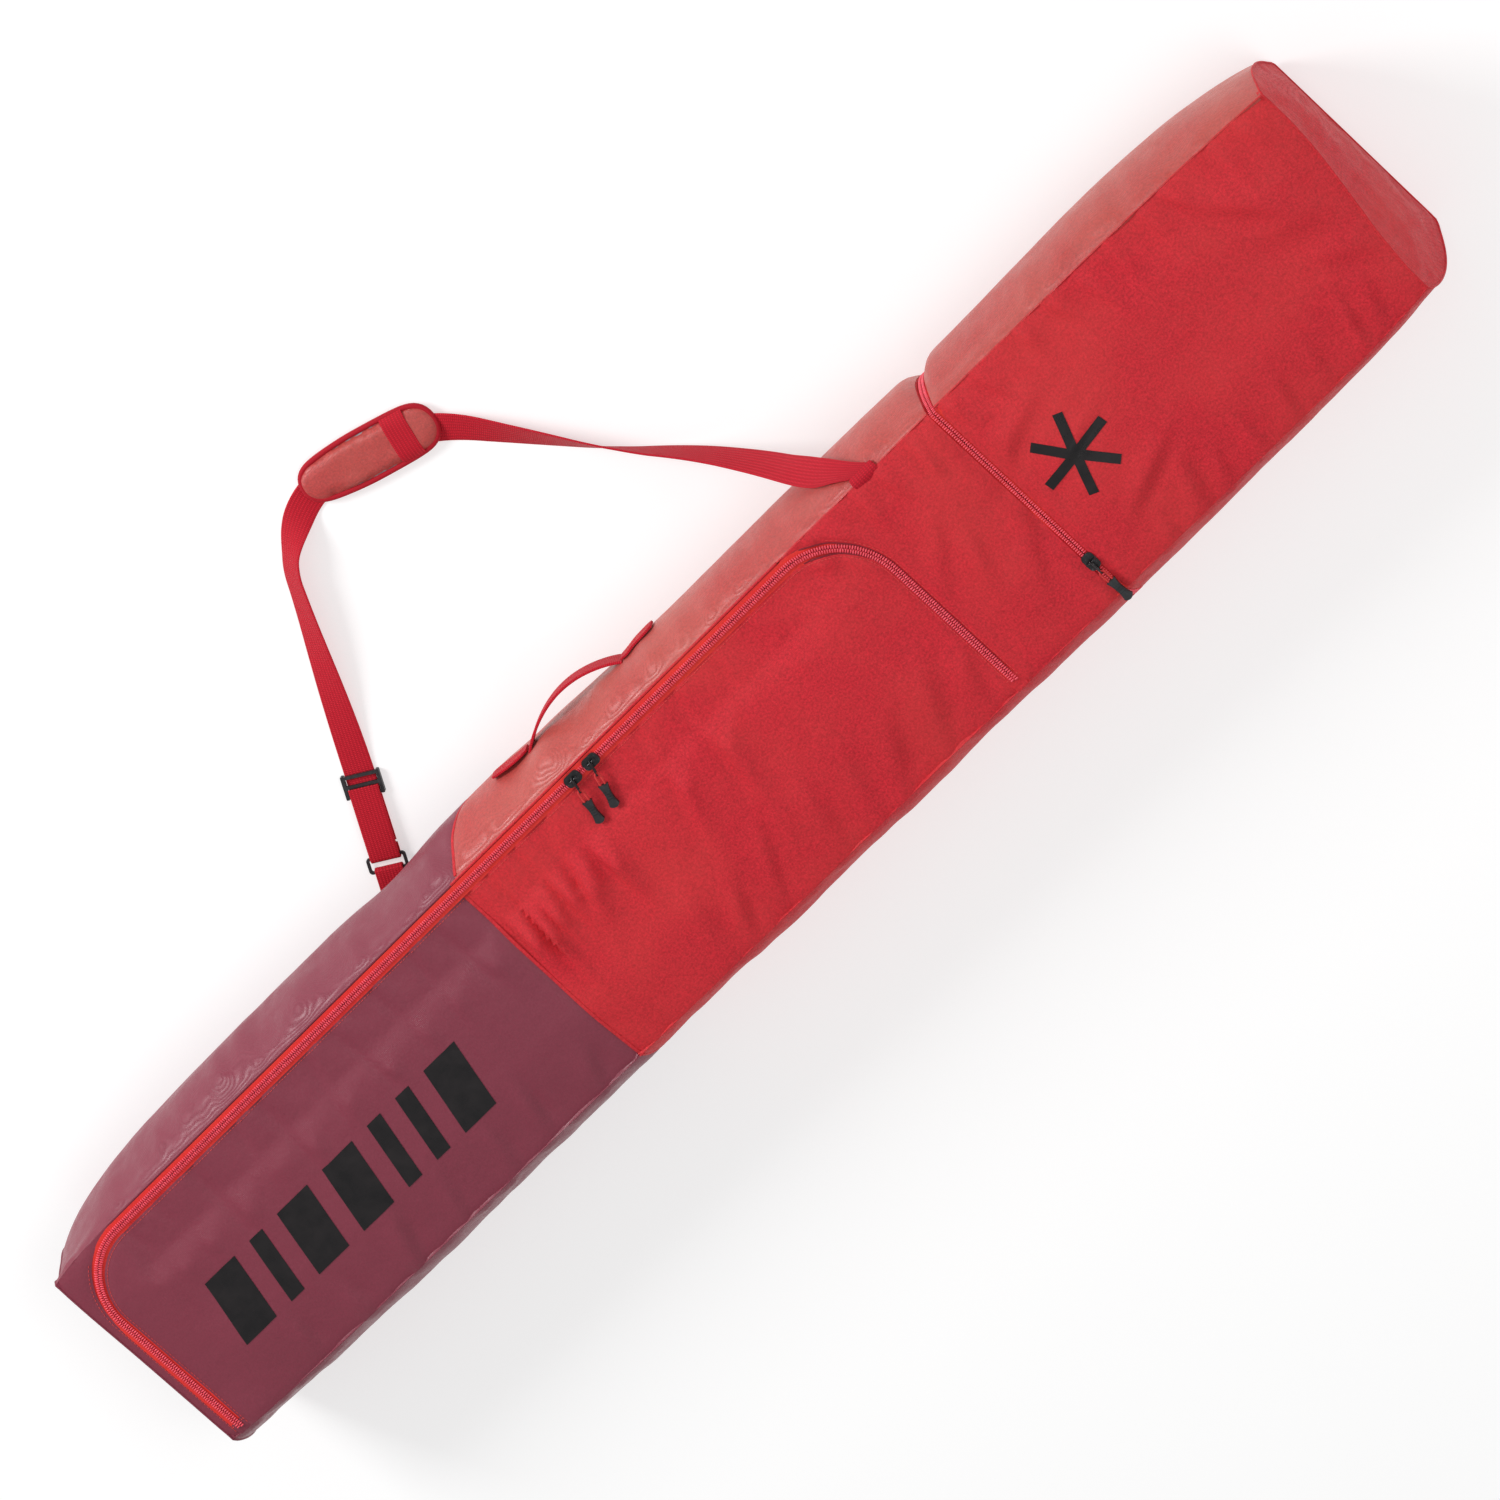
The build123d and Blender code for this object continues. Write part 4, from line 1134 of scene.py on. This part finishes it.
def build_inside():
    """Foam, lining and the two ski straps."""
    soft_layer("back_padding", "back_foam", "foam", "base")
    soft_layer("back_lining_cloth", "back_lining", "lining", "base", channels=0.16)
    soft_layer("head_padding", "head_foam", "foam", "head_section")
    soft_layer("head_lining_cloth", "head_lining", "lining", "head_section", channels=0.14)
    soft_layer("lid_padding", "lid_foam", "foam", "lid", lid_outline(0.018), down=True)
    soft_layer("lid_lining_cloth", "lid_lining", "lining", "lid", lid_outline(0.018), 0.16, down=True)
    for part in ("foot", "head"):
        node = f"ski_strap_{part}"
        (x0, y0, z0), (x1, y1, z1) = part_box(node)
        ys = np.linspace(y0, y1, 50)
        wave = 0.0002 * np.cos(ys * 60)
        line = np.column_stack([np.full(50, (x0 + x1) / 2), ys, (z0 + z1) / 2 + wave])
        strip(f"{node}_webbing", line, ALONG_X, x1 - x0, (z1 - z0) * 0.85, "webbing", "base", [node])


# ---- carry handle --------------------------------------------------------------------------------
def build_handle():
    """The carry handle's arch of folded webbing and its two sewn ends."""
    (x0, _, z0), (x1, y1, z1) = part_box("carry_handle")
    z, width = (z0 + z1) / 2, z1 - z0
    root = low("carry_handle")[1] + 0.0013
    share = np.linspace(0, 1, 60)
    rise = np.sin(share * math.pi) ** 0.8
    y = root + (y1 - 0.0015 - root) * rise
    line = np.column_stack([x0 + (x1 - x0) * share, y, z + 0.0015 * np.sin(share * 2 * math.pi)])
    strip("handle_webbing", line, (0, 0, 1), width, 0.0030, "webbing", "carry_handle", ["carry_handle"])
    for part, start, end in (("foot", x0 - 0.0010, x0 - 0.047), ("head", x1 + 0.0010, x1 + 0.047)):
        xs = np.linspace(start, end, 14)
        ts = np.full(14, (z - 0.0035) / (GUSSET_TOP - 0.0035))
        on_cloth = gusset_point(xs, ts, 1)
        seat = on_cloth[:, 1] + 0.0022
        seat = seat + (np.maximum(root, seat[0]) - seat) * smooth(1 - np.linspace(0, 1, 14) / 0.4)
        line = np.column_stack([xs, seat, np.full(14, z)])
        name = f"handle_patch_{part}"
        strip(f"handle_end_{part}", line, (0, 0, 1), width, 0.0026, "webbing", "base", [name], ends=0.35)
        box_stitch(f"handle_stitches_{part}", line, width)


def box_stitch(name, line, width):
    """A box of stitches with a cross in it, on the outer face of a sewn end."""
    x_a, x_b = line[2, 0], line[-3, 0]
    order = np.argsort(line[:, 0])
    z = line[0, 2]
    half = width / 2 - 0.003
    corners = [(x_a, z - half), (x_b, z - half), (x_b, z + half), (x_a, z + half)]
    runs = [(corners[k], corners[(k + 1) % 4]) for k in range(4)]
    runs += [(corners[0], corners[2]), (corners[1], corners[3])]
    places, along = [], []
    for a, b in runs:
        a, b = np.array(a), np.array(b)
        count = max(3, round(np.linalg.norm(b - a) / 0.0034))
        for k in range(count):
            spot = a + (b - a) * (k + 0.5) / count
            seat = np.interp(spot[0], line[order, 0], line[order, 1])
            places.append((spot[0], seat + 0.0013, spot[1]))
            along.append((b[0] - a[0], 0.0, b[1] - a[1]))
    outwards = (0.0, 1.0, 0.0)
    repeated(name, np.array(places), np.array(along), outwards, SHORT_STITCH, "thread", "base")


# ---- shoulder strap ------------------------------------------------------------------------------
MM = 0.001
STRAP_WIDTH = 0.032
PAD_END = (-0.120, 0.490)
GLIDE = (-0.303, 0.243)
TURN_PLACES = (0.0, 0.10, 0.26, 0.40, 0.50)    # shares of the strap's length from the seam
TURN_ANGLES = (0, 50, 92, 140, 180)
LEAN = 0.90                                    # radians that the strap leans beyond its pad
STRAP_ROUTE = [
    (338, 138, 155), (318, 150, 145), (286, 169, 112), (246, 201, 58), (200, 246, 24),
    (146, 301, 17), (93, 373, 9), (31, 453, 1.6), (-37, 475, 1.5), (-107, 494, 1.5), (-174, 463, 1.5),
    (-205, 407, 1.5), (-338, 187, 1.5),
]


def spline_points(name, route, resolution=24):
    """Points of the smooth line that a route's points control."""
    curve = bpy.data.curves.new(name, "CURVE")
    curve.dimensions = "3D"
    spline = curve.splines.new("NURBS")
    spline.points.add(len(route) - 1)
    for point, (x, y, z) in zip(spline.points, route):
        point.co = (x * MM, y * MM, z * MM, 1.0)
    spline.order_u = 3
    spline.use_endpoint_u = True
    spline.resolution_u = resolution
    carrier = bpy.data.objects.new(name, curve)
    mesh = bpy.data.meshes.new_from_object(carrier)
    line = np.array([tuple(vertex.co) for vertex in mesh.vertices])
    bpy.data.objects.remove(carrier)
    bpy.data.meshes.remove(mesh)
    return line


def even(line, step):
    """The same line with its points about one step apart."""
    reach = reach_along(line)
    return resampled(line, reach, np.linspace(0, reach[-1], round(reach[-1] / step)))


def strap_across(line):
    """The direction of the strap's width at each point: it turns over once before the pad."""
    heading = tangents(line)
    level = unit(np.cross(UP, heading))
    up = np.cross(heading, level)
    reach = np.arange(len(line)) / (len(line) - 1)
    ground = line[:, :2]
    past_pad = reach[np.argmin(np.linalg.norm(ground - PAD_END, axis=1))]
    at_glide = reach[np.argmin(np.linalg.norm(ground - GLIDE, axis=1))]
    lean = smooth((reach - past_pad) / 0.06) * smooth((at_glide - reach) / (at_glide - past_pad) * 1.3)
    turn = np.radians(np.interp(reach, TURN_PLACES, TURN_ANGLES)) + LEAN * lean
    across = level * np.cos(turn)[:, None] + up * np.sin(turn)[:, None]
    at_seam = smooth((0.09 - reach) / 0.09)[:, None]
    sewn = np.array((1.0, -0.1, 0.1)) * np.sign(across[0, 0])
    return unit(across * (1 - at_seam) + sewn * at_seam)


def build_strap():
    """The strap's webbing: sewn to the seam, turned over once, through the pad and to the ring."""
    line = even(spline_points("strap_route", STRAP_ROUTE), 0.004)
    across = strap_across(line)
    lowest = line[:, 2] - STRAP_WIDTH / 2 * np.abs(across[:, 2]) - WEB_T / 2
    line[:, 2] += np.maximum(0, 0.0003 - lowest)
    nodes = ["strap_upper", "strap_lower"]
    webbing = strip(
        "strap_webbing", line, across, STRAP_WIDTH, WEB_T, "webbing", "shoulder_strap", nodes
    )
    along = unit(line[-1] - line[-12]) * -1
    along[2] = 0.0
    build_return(along)
    pieces = ["strap_return_webbing", "tri_glide", "strap_ring"] + build_pad()


def loop_line(bar, along, low_tail, high_tail, reach, sink=0.0):
    """A doubled line of webbing around a bar: out along the floor, round it and back on top."""
    turns = np.linspace(-math.pi / 2, -3 * math.pi / 2, 14)
    flat = [(low_tail * k / 4, -reach) for k in range(4, 0, -1)]
    flat += [(reach * math.cos(turn), reach * math.sin(turn)) for turn in turns]
    flat += [(high_tail * k / 8, reach - sink * smooth(k / 8 * 1.3 - 0.3)) for k in range(1, 9)]
    return np.array([bar + along * u + np.array((0.0, 0.0, v)) for u, v in flat])


def build_return(along):
    """The strap's doubled end at the ring, the loop that holds the ring and the seam's tab."""
    side = np.cross(UP, along)
    bar = np.array((-345, 175, 5.2)) * MM
    line = loop_line(bar, along, 0.011, 0.078, 0.0037, sink=0.0006)
    nodes = ["strap_return"]
    strip("strap_return_webbing", line, side, STRAP_WIDTH, WEB_T, "webbing", "shoulder_strap", nodes)
    inner = bar - along * 0.015
    line = loop_line(inner, -along, 0.044, 0.044, 0.0037)
    strip("ring_anchor_webbing", line, side, 0.030, WEB_T, "webbing", "base", ["ring_anchor"])
    route = [(338, 139, 154), (338, 136, 156), (338, 133, 157.6), (338, 130, 157.6), (338, 126, 155)]
    line = even(spline_points("tab_route", route), 0.002)
    nodes = ["strap_seam_tab"]
    strip("strap_tab_webbing", line, ALONG_X, 0.033, WEB_T, "webbing", "base", nodes, ends=0.1)


def pad_half_width(u):
    """Half the pad's width at u from -1 to 1 along it: full in the middle and narrower to its ends."""
    taper = 1 - 0.12 * np.abs(u) ** 3 - 0.14 * smooth(-u)
    return 0.0270 * taper * np.sqrt(np.maximum(0.0, 1 - np.abs(u) ** 9))


def build_pad():
    """The shoulder pad, swollen by a cloth simulation, with its binding, core and band."""
    (x0, y0, z0), (x1, y1, z1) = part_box("pad_cover")
    heading = unit(np.array([68.0, -20.0]))
    side = np.array([-heading[1], heading[0]])
    middle = np.array([(x0 + x1) / 2, (y0 + y1) / 2]) + side * 0.004
    length = 0.160
    u = -np.cos(np.linspace(0, math.pi, 36))
    spine, half = middle + np.outer(u * length / 2, heading), np.outer(pad_half_width(u), side)
    upper, lower = spine + half, spine - half
    tip = heading * length / 2
    outline = np.vstack([lower[1:-1], [middle + tip], upper[-2:0:-1], [middle - tip]])
    height = z1 - z0
    cover = pad_body("pad_cloth", outline, z0 + 0.0012, height - 0.0024, 0.0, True)
    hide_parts("pad_cover")
    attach(cover, "shoulder_strap")
    core = pad_body("pad_foam", outline, z0 + 0.0030, height - 0.0062, 0.005, False)
    core.data.materials[0] = FINISH["foam"]
    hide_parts("pad_core")
    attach(core, "shoulder_strap")
    ring = middle + (spaced(outline, 0.005) - middle) * 0.962
    line = np.column_stack([ring, np.full(len(ring), z0 + height * 0.42)])
    tube("pad_binding", line, 0.0031, "webbing", "shoulder_strap", closed=True)
    across = np.linspace(-1, 1, 30)
    spot = middle + heading * (length / 2 - 0.040)
    band = spot + np.outer(across * 0.0266, side)
    line = np.column_stack([band, z1 + 0.0010 - 0.0070 * np.abs(across) ** 4.5])
    toward = (*heading, 0)
    strip("pad_band_webbing", line, toward, 0.026, 0.0016, "webbing", "shoulder_strap", ["pad_band"])
    return ["pad_cloth", "pad_foam", "pad_binding", "pad_band_webbing"]


def pad_body(name, outline, z0, height, inset, simulate):
    """A crowned cushion over an outline, blown up by cloth pressure where simulate is true."""
    flat, faces = filled(outline, 0.0045)
    rim = spaced(outline, 0.004)
    edge = np.min(np.linalg.norm(flat[:, None] - rim[None], axis=2), axis=1)
    middle = flat.mean(axis=0)
    flat = middle + (flat - middle) * (1 - inset / 0.05)
    crown = np.sqrt(np.clip(edge / 0.012, 0, 1) * (2 - np.clip(edge / 0.012, 0, 1)))
    top = z0 + height * (0.42 + 0.58 * crown)
    bottom = z0 + height * 0.42 * (1 - crown)
    count = len(flat)
    points = np.vstack([np.column_stack([flat, top]), np.column_stack([flat, bottom])])
    directed = {(face[k - 1], face[k]) for face in faces for k in range(3)}
    rims = [(b, a, a + count, b + count) for a, b in directed if (b, a) not in directed]
    back = [tuple(corner + count for corner in face[::-1]) for face in faces]
    # The pad's cover takes the red cloth with painted sheen in its colour.
    made = piece(name, points, faces + back + rims, "sheen_painted_red_cloth", sharp=180)
    if simulate:
        swell(made, cap=0.0022)
    return made


SIMULATED_FRAMES = 20


def swell(made, cap):
    """Remeshes a soft piece, lets cloth pressure swell it, and caps how far each point moves."""
    remesh = made.modifiers.new("remesh", "REMESH")
    remesh.mode = "VOXEL"
    remesh.voxel_size = 0.004
    apply_modifiers(made)
    before = np.array([tuple(vertex.co) for vertex in made.data.vertices])
    simulation = made.modifiers.new("cloth", "CLOTH")
    simulation.settings.use_pressure = True
    simulation.settings.uniform_pressure_force = 4.0
    simulation.settings.effector_weights.gravity = 0.0
    simulation.point_cache.frame_start = 1
    simulation.point_cache.frame_end = SIMULATED_FRAMES
    scene = bpy.context.scene
    for step in range(1, SIMULATED_FRAMES + 1):
        scene.frame_set(step)
    apply_modifiers(made)
    scene.frame_set(1)
    after = np.array([tuple(vertex.co) for vertex in made.data.vertices])
    moved = after - before
    far = np.linalg.norm(moved, axis=1, keepdims=True)
    moved = moved * np.minimum(1.0, cap / np.maximum(far, 1e-9))
    settled = before + moved
    settled[:, 2] += 0.0005 * rumple(settled[:, 0] / 0.016, settled[:, 1] / 0.016, 41)
    settled[:, 2] = np.maximum(settled[:, 2], before[:, 2].min() - 0.0004)
    made.data.vertices.foreach_set("co", settled.ravel())
    smoother = made.modifiers.new("finer", "SUBSURF")
    smoother.levels = smoother.render_levels = 1
    apply_modifiers(made)
    made.data.shade_smooth()


def apply_modifiers(made):
    """Replaces a piece's mesh by what its modifiers make of it."""
    depsgraph = bpy.context.evaluated_depsgraph_get()
    mesh = bpy.data.meshes.new_from_object(made.evaluated_get(depsgraph))
    made.modifiers.clear()
    made.data = mesh


# ---- printed shapes ------------------------------------------------------------------------------
def build_prints():
    """Generic shapes in black film: slanted bars on the lid and a plain six-armed star."""
    bars = [0.046, 0.020, 0.046, 0.046, 0.020, 0.020, 0.046]
    x, gap, lean, half = -0.785, 0.023, 0.020, 0.038
    middle = -0.020
    for number, width in enumerate(bars):
        outline = [
            (x, middle - half), (x + width, middle - half),
            (x + width + lean, middle + half), (x + lean, middle + half),
        ]
        front_panel(f"print_bar_{number + 1}", outline, "print", "lid", (), 0.0005, 0.0009)
        x += width + gap
    points = []
    centre, reach, thin = np.array([0.500, 0.004]), 0.044, 0.0052
    for arm in range(6):
        turn = math.radians(60 * arm + 8)
        ahead = np.array([math.cos(turn), math.sin(turn)])
        across = np.array([-ahead[1], ahead[0]])
        between = math.radians(60 * arm + 38)
        points += [centre + ahead * reach - across * thin, centre + ahead * reach + across * thin]
        points.append(centre + np.array([math.cos(between), math.sin(between)]) * thin * 2)
    front_panel("print_star", points, "print", "head_section", (), 0.0005, 0.0009, 0.003)


# ---- CAD nodes that stay -------------------------------------------------------------------------
def paint_frame():
    """Gives the CAD nodes that stay in view their finishes."""
    kept = {
        "slider_metal": ["foot_slider", "head_slider", "girth_slider"],
        "zip_tape": [
            "main_zip_tape_lid", "main_zip_tape_base", "girth_zip_tape_base", "girth_zip_tape_head"
        ],
        "black_plastic": ["tri_glide", "strap_ring"],
        "cord": [],
    }
    for name in ("foot", "head", "girth"):
        kept["slider_metal"].append(f"{name}_pull_loop")
        kept["cord"].append(f"{name}_pull_cord")
        kept["black_plastic"].append(f"{name}_pull_tab")
    for finish, nodes in kept.items():
        for node in nodes:
            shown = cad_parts[node]
            for slot in shown.material_slots:
                slot.material = FINISH[finish]


# ---- camera, light and floor ---------------------------------------------------------------------
def build_camera():
    """A long lens, high on the handle's side and turned so that the bag runs corner to corner."""
    azimuth, elevation, roll = (math.radians(angle) for angle in (29.88, 69.09, 165.94))
    target, distance = Vector((0.0266, 0.0026, 0.077)), 6.476
    level = math.cos(elevation)
    back = Vector((level * math.cos(azimuth), level * math.sin(azimuth), math.sin(elevation)))
    right = Vector((0, 0, 1)).cross(back).normalized()
    up = back.cross(right)
    image_x = right * math.cos(roll) - up * math.sin(roll)
    image_y = right * math.sin(roll) + up * math.cos(roll)
    data = bpy.data.cameras.new("camera")
    data.sensor_width = 36.0
    data.lens = 155.9
    data.clip_end = 50.0
    camera = bpy.data.objects.new("camera", data)
    bpy.context.collection.objects.link(camera)
    turn = Matrix((image_x, image_y, back)).transposed().to_4x4()
    camera.matrix_world = Matrix.Translation(target + back * distance) @ turn
    bpy.context.scene.camera = camera


def area_light(name, place, size, power):
    """A square white light that faces the bag."""
    data = bpy.data.lights.new(name, "AREA")
    data.size = size
    data.energy = power
    light = bpy.data.objects.new(name, data)
    bpy.context.collection.objects.link(light)
    light.location = place
    light.rotation_euler = (Vector((0, 0, 0)) - Vector(place)).to_track_quat("-Z", "Y").to_euler()


def build_studio():
    """A pale floor, an even surround and soft lights from the handle's side."""
    scene = bpy.context.scene
    scene.view_settings.view_transform = "Standard"
    world = bpy.data.worlds.new("surround")
    world.use_nodes = True
    world.node_tree.nodes["Background"].inputs["Color"].default_value = (1, 1, 1, 1)
    world.node_tree.nodes["Background"].inputs["Strength"].default_value = 0.44
    scene.world = world
    area_light("key", (-1.5, 3.0, 1.9), 1.3, 92)
    area_light("top", (1.6, -0.4, 3.4), 2.0, 32)
    area_light("head", (3.2, 0.4, 1.6), 1.4, 4)
    floor_mesh = bpy.data.meshes.new("floor")
    far = 14.0
    corners = [(-far, -far, 0), (far, -far, 0), (far, far, 0), (-far, far, 0)]
    floor_mesh.from_pydata(corners, [], [(0, 1, 2, 3)])
    floor = bpy.data.objects.new("floor", floor_mesh)
    bpy.context.collection.objects.link(floor)
    made = Finish("floor_paint")
    made.set(Roughness=0.85)
    made.shader.inputs["Base Color"].default_value = (0.55, 0.55, 0.55, 1)
    made.shader.inputs["Emission Color"].default_value = (1, 1, 1, 1)
    made.shader.inputs["Emission Strength"].default_value = 0.52
    floor_mesh.materials.append(made.material)


build_camera()
build_studio()
build_strap()
build_lid()
build_base_front()
build_head_front()
build_gussets()
build_backs_and_ends()
build_welts()
build_main_zip()
build_girth_zip()
build_expansion()
build_inside()
build_handle()
build_prints()
paint_frame()
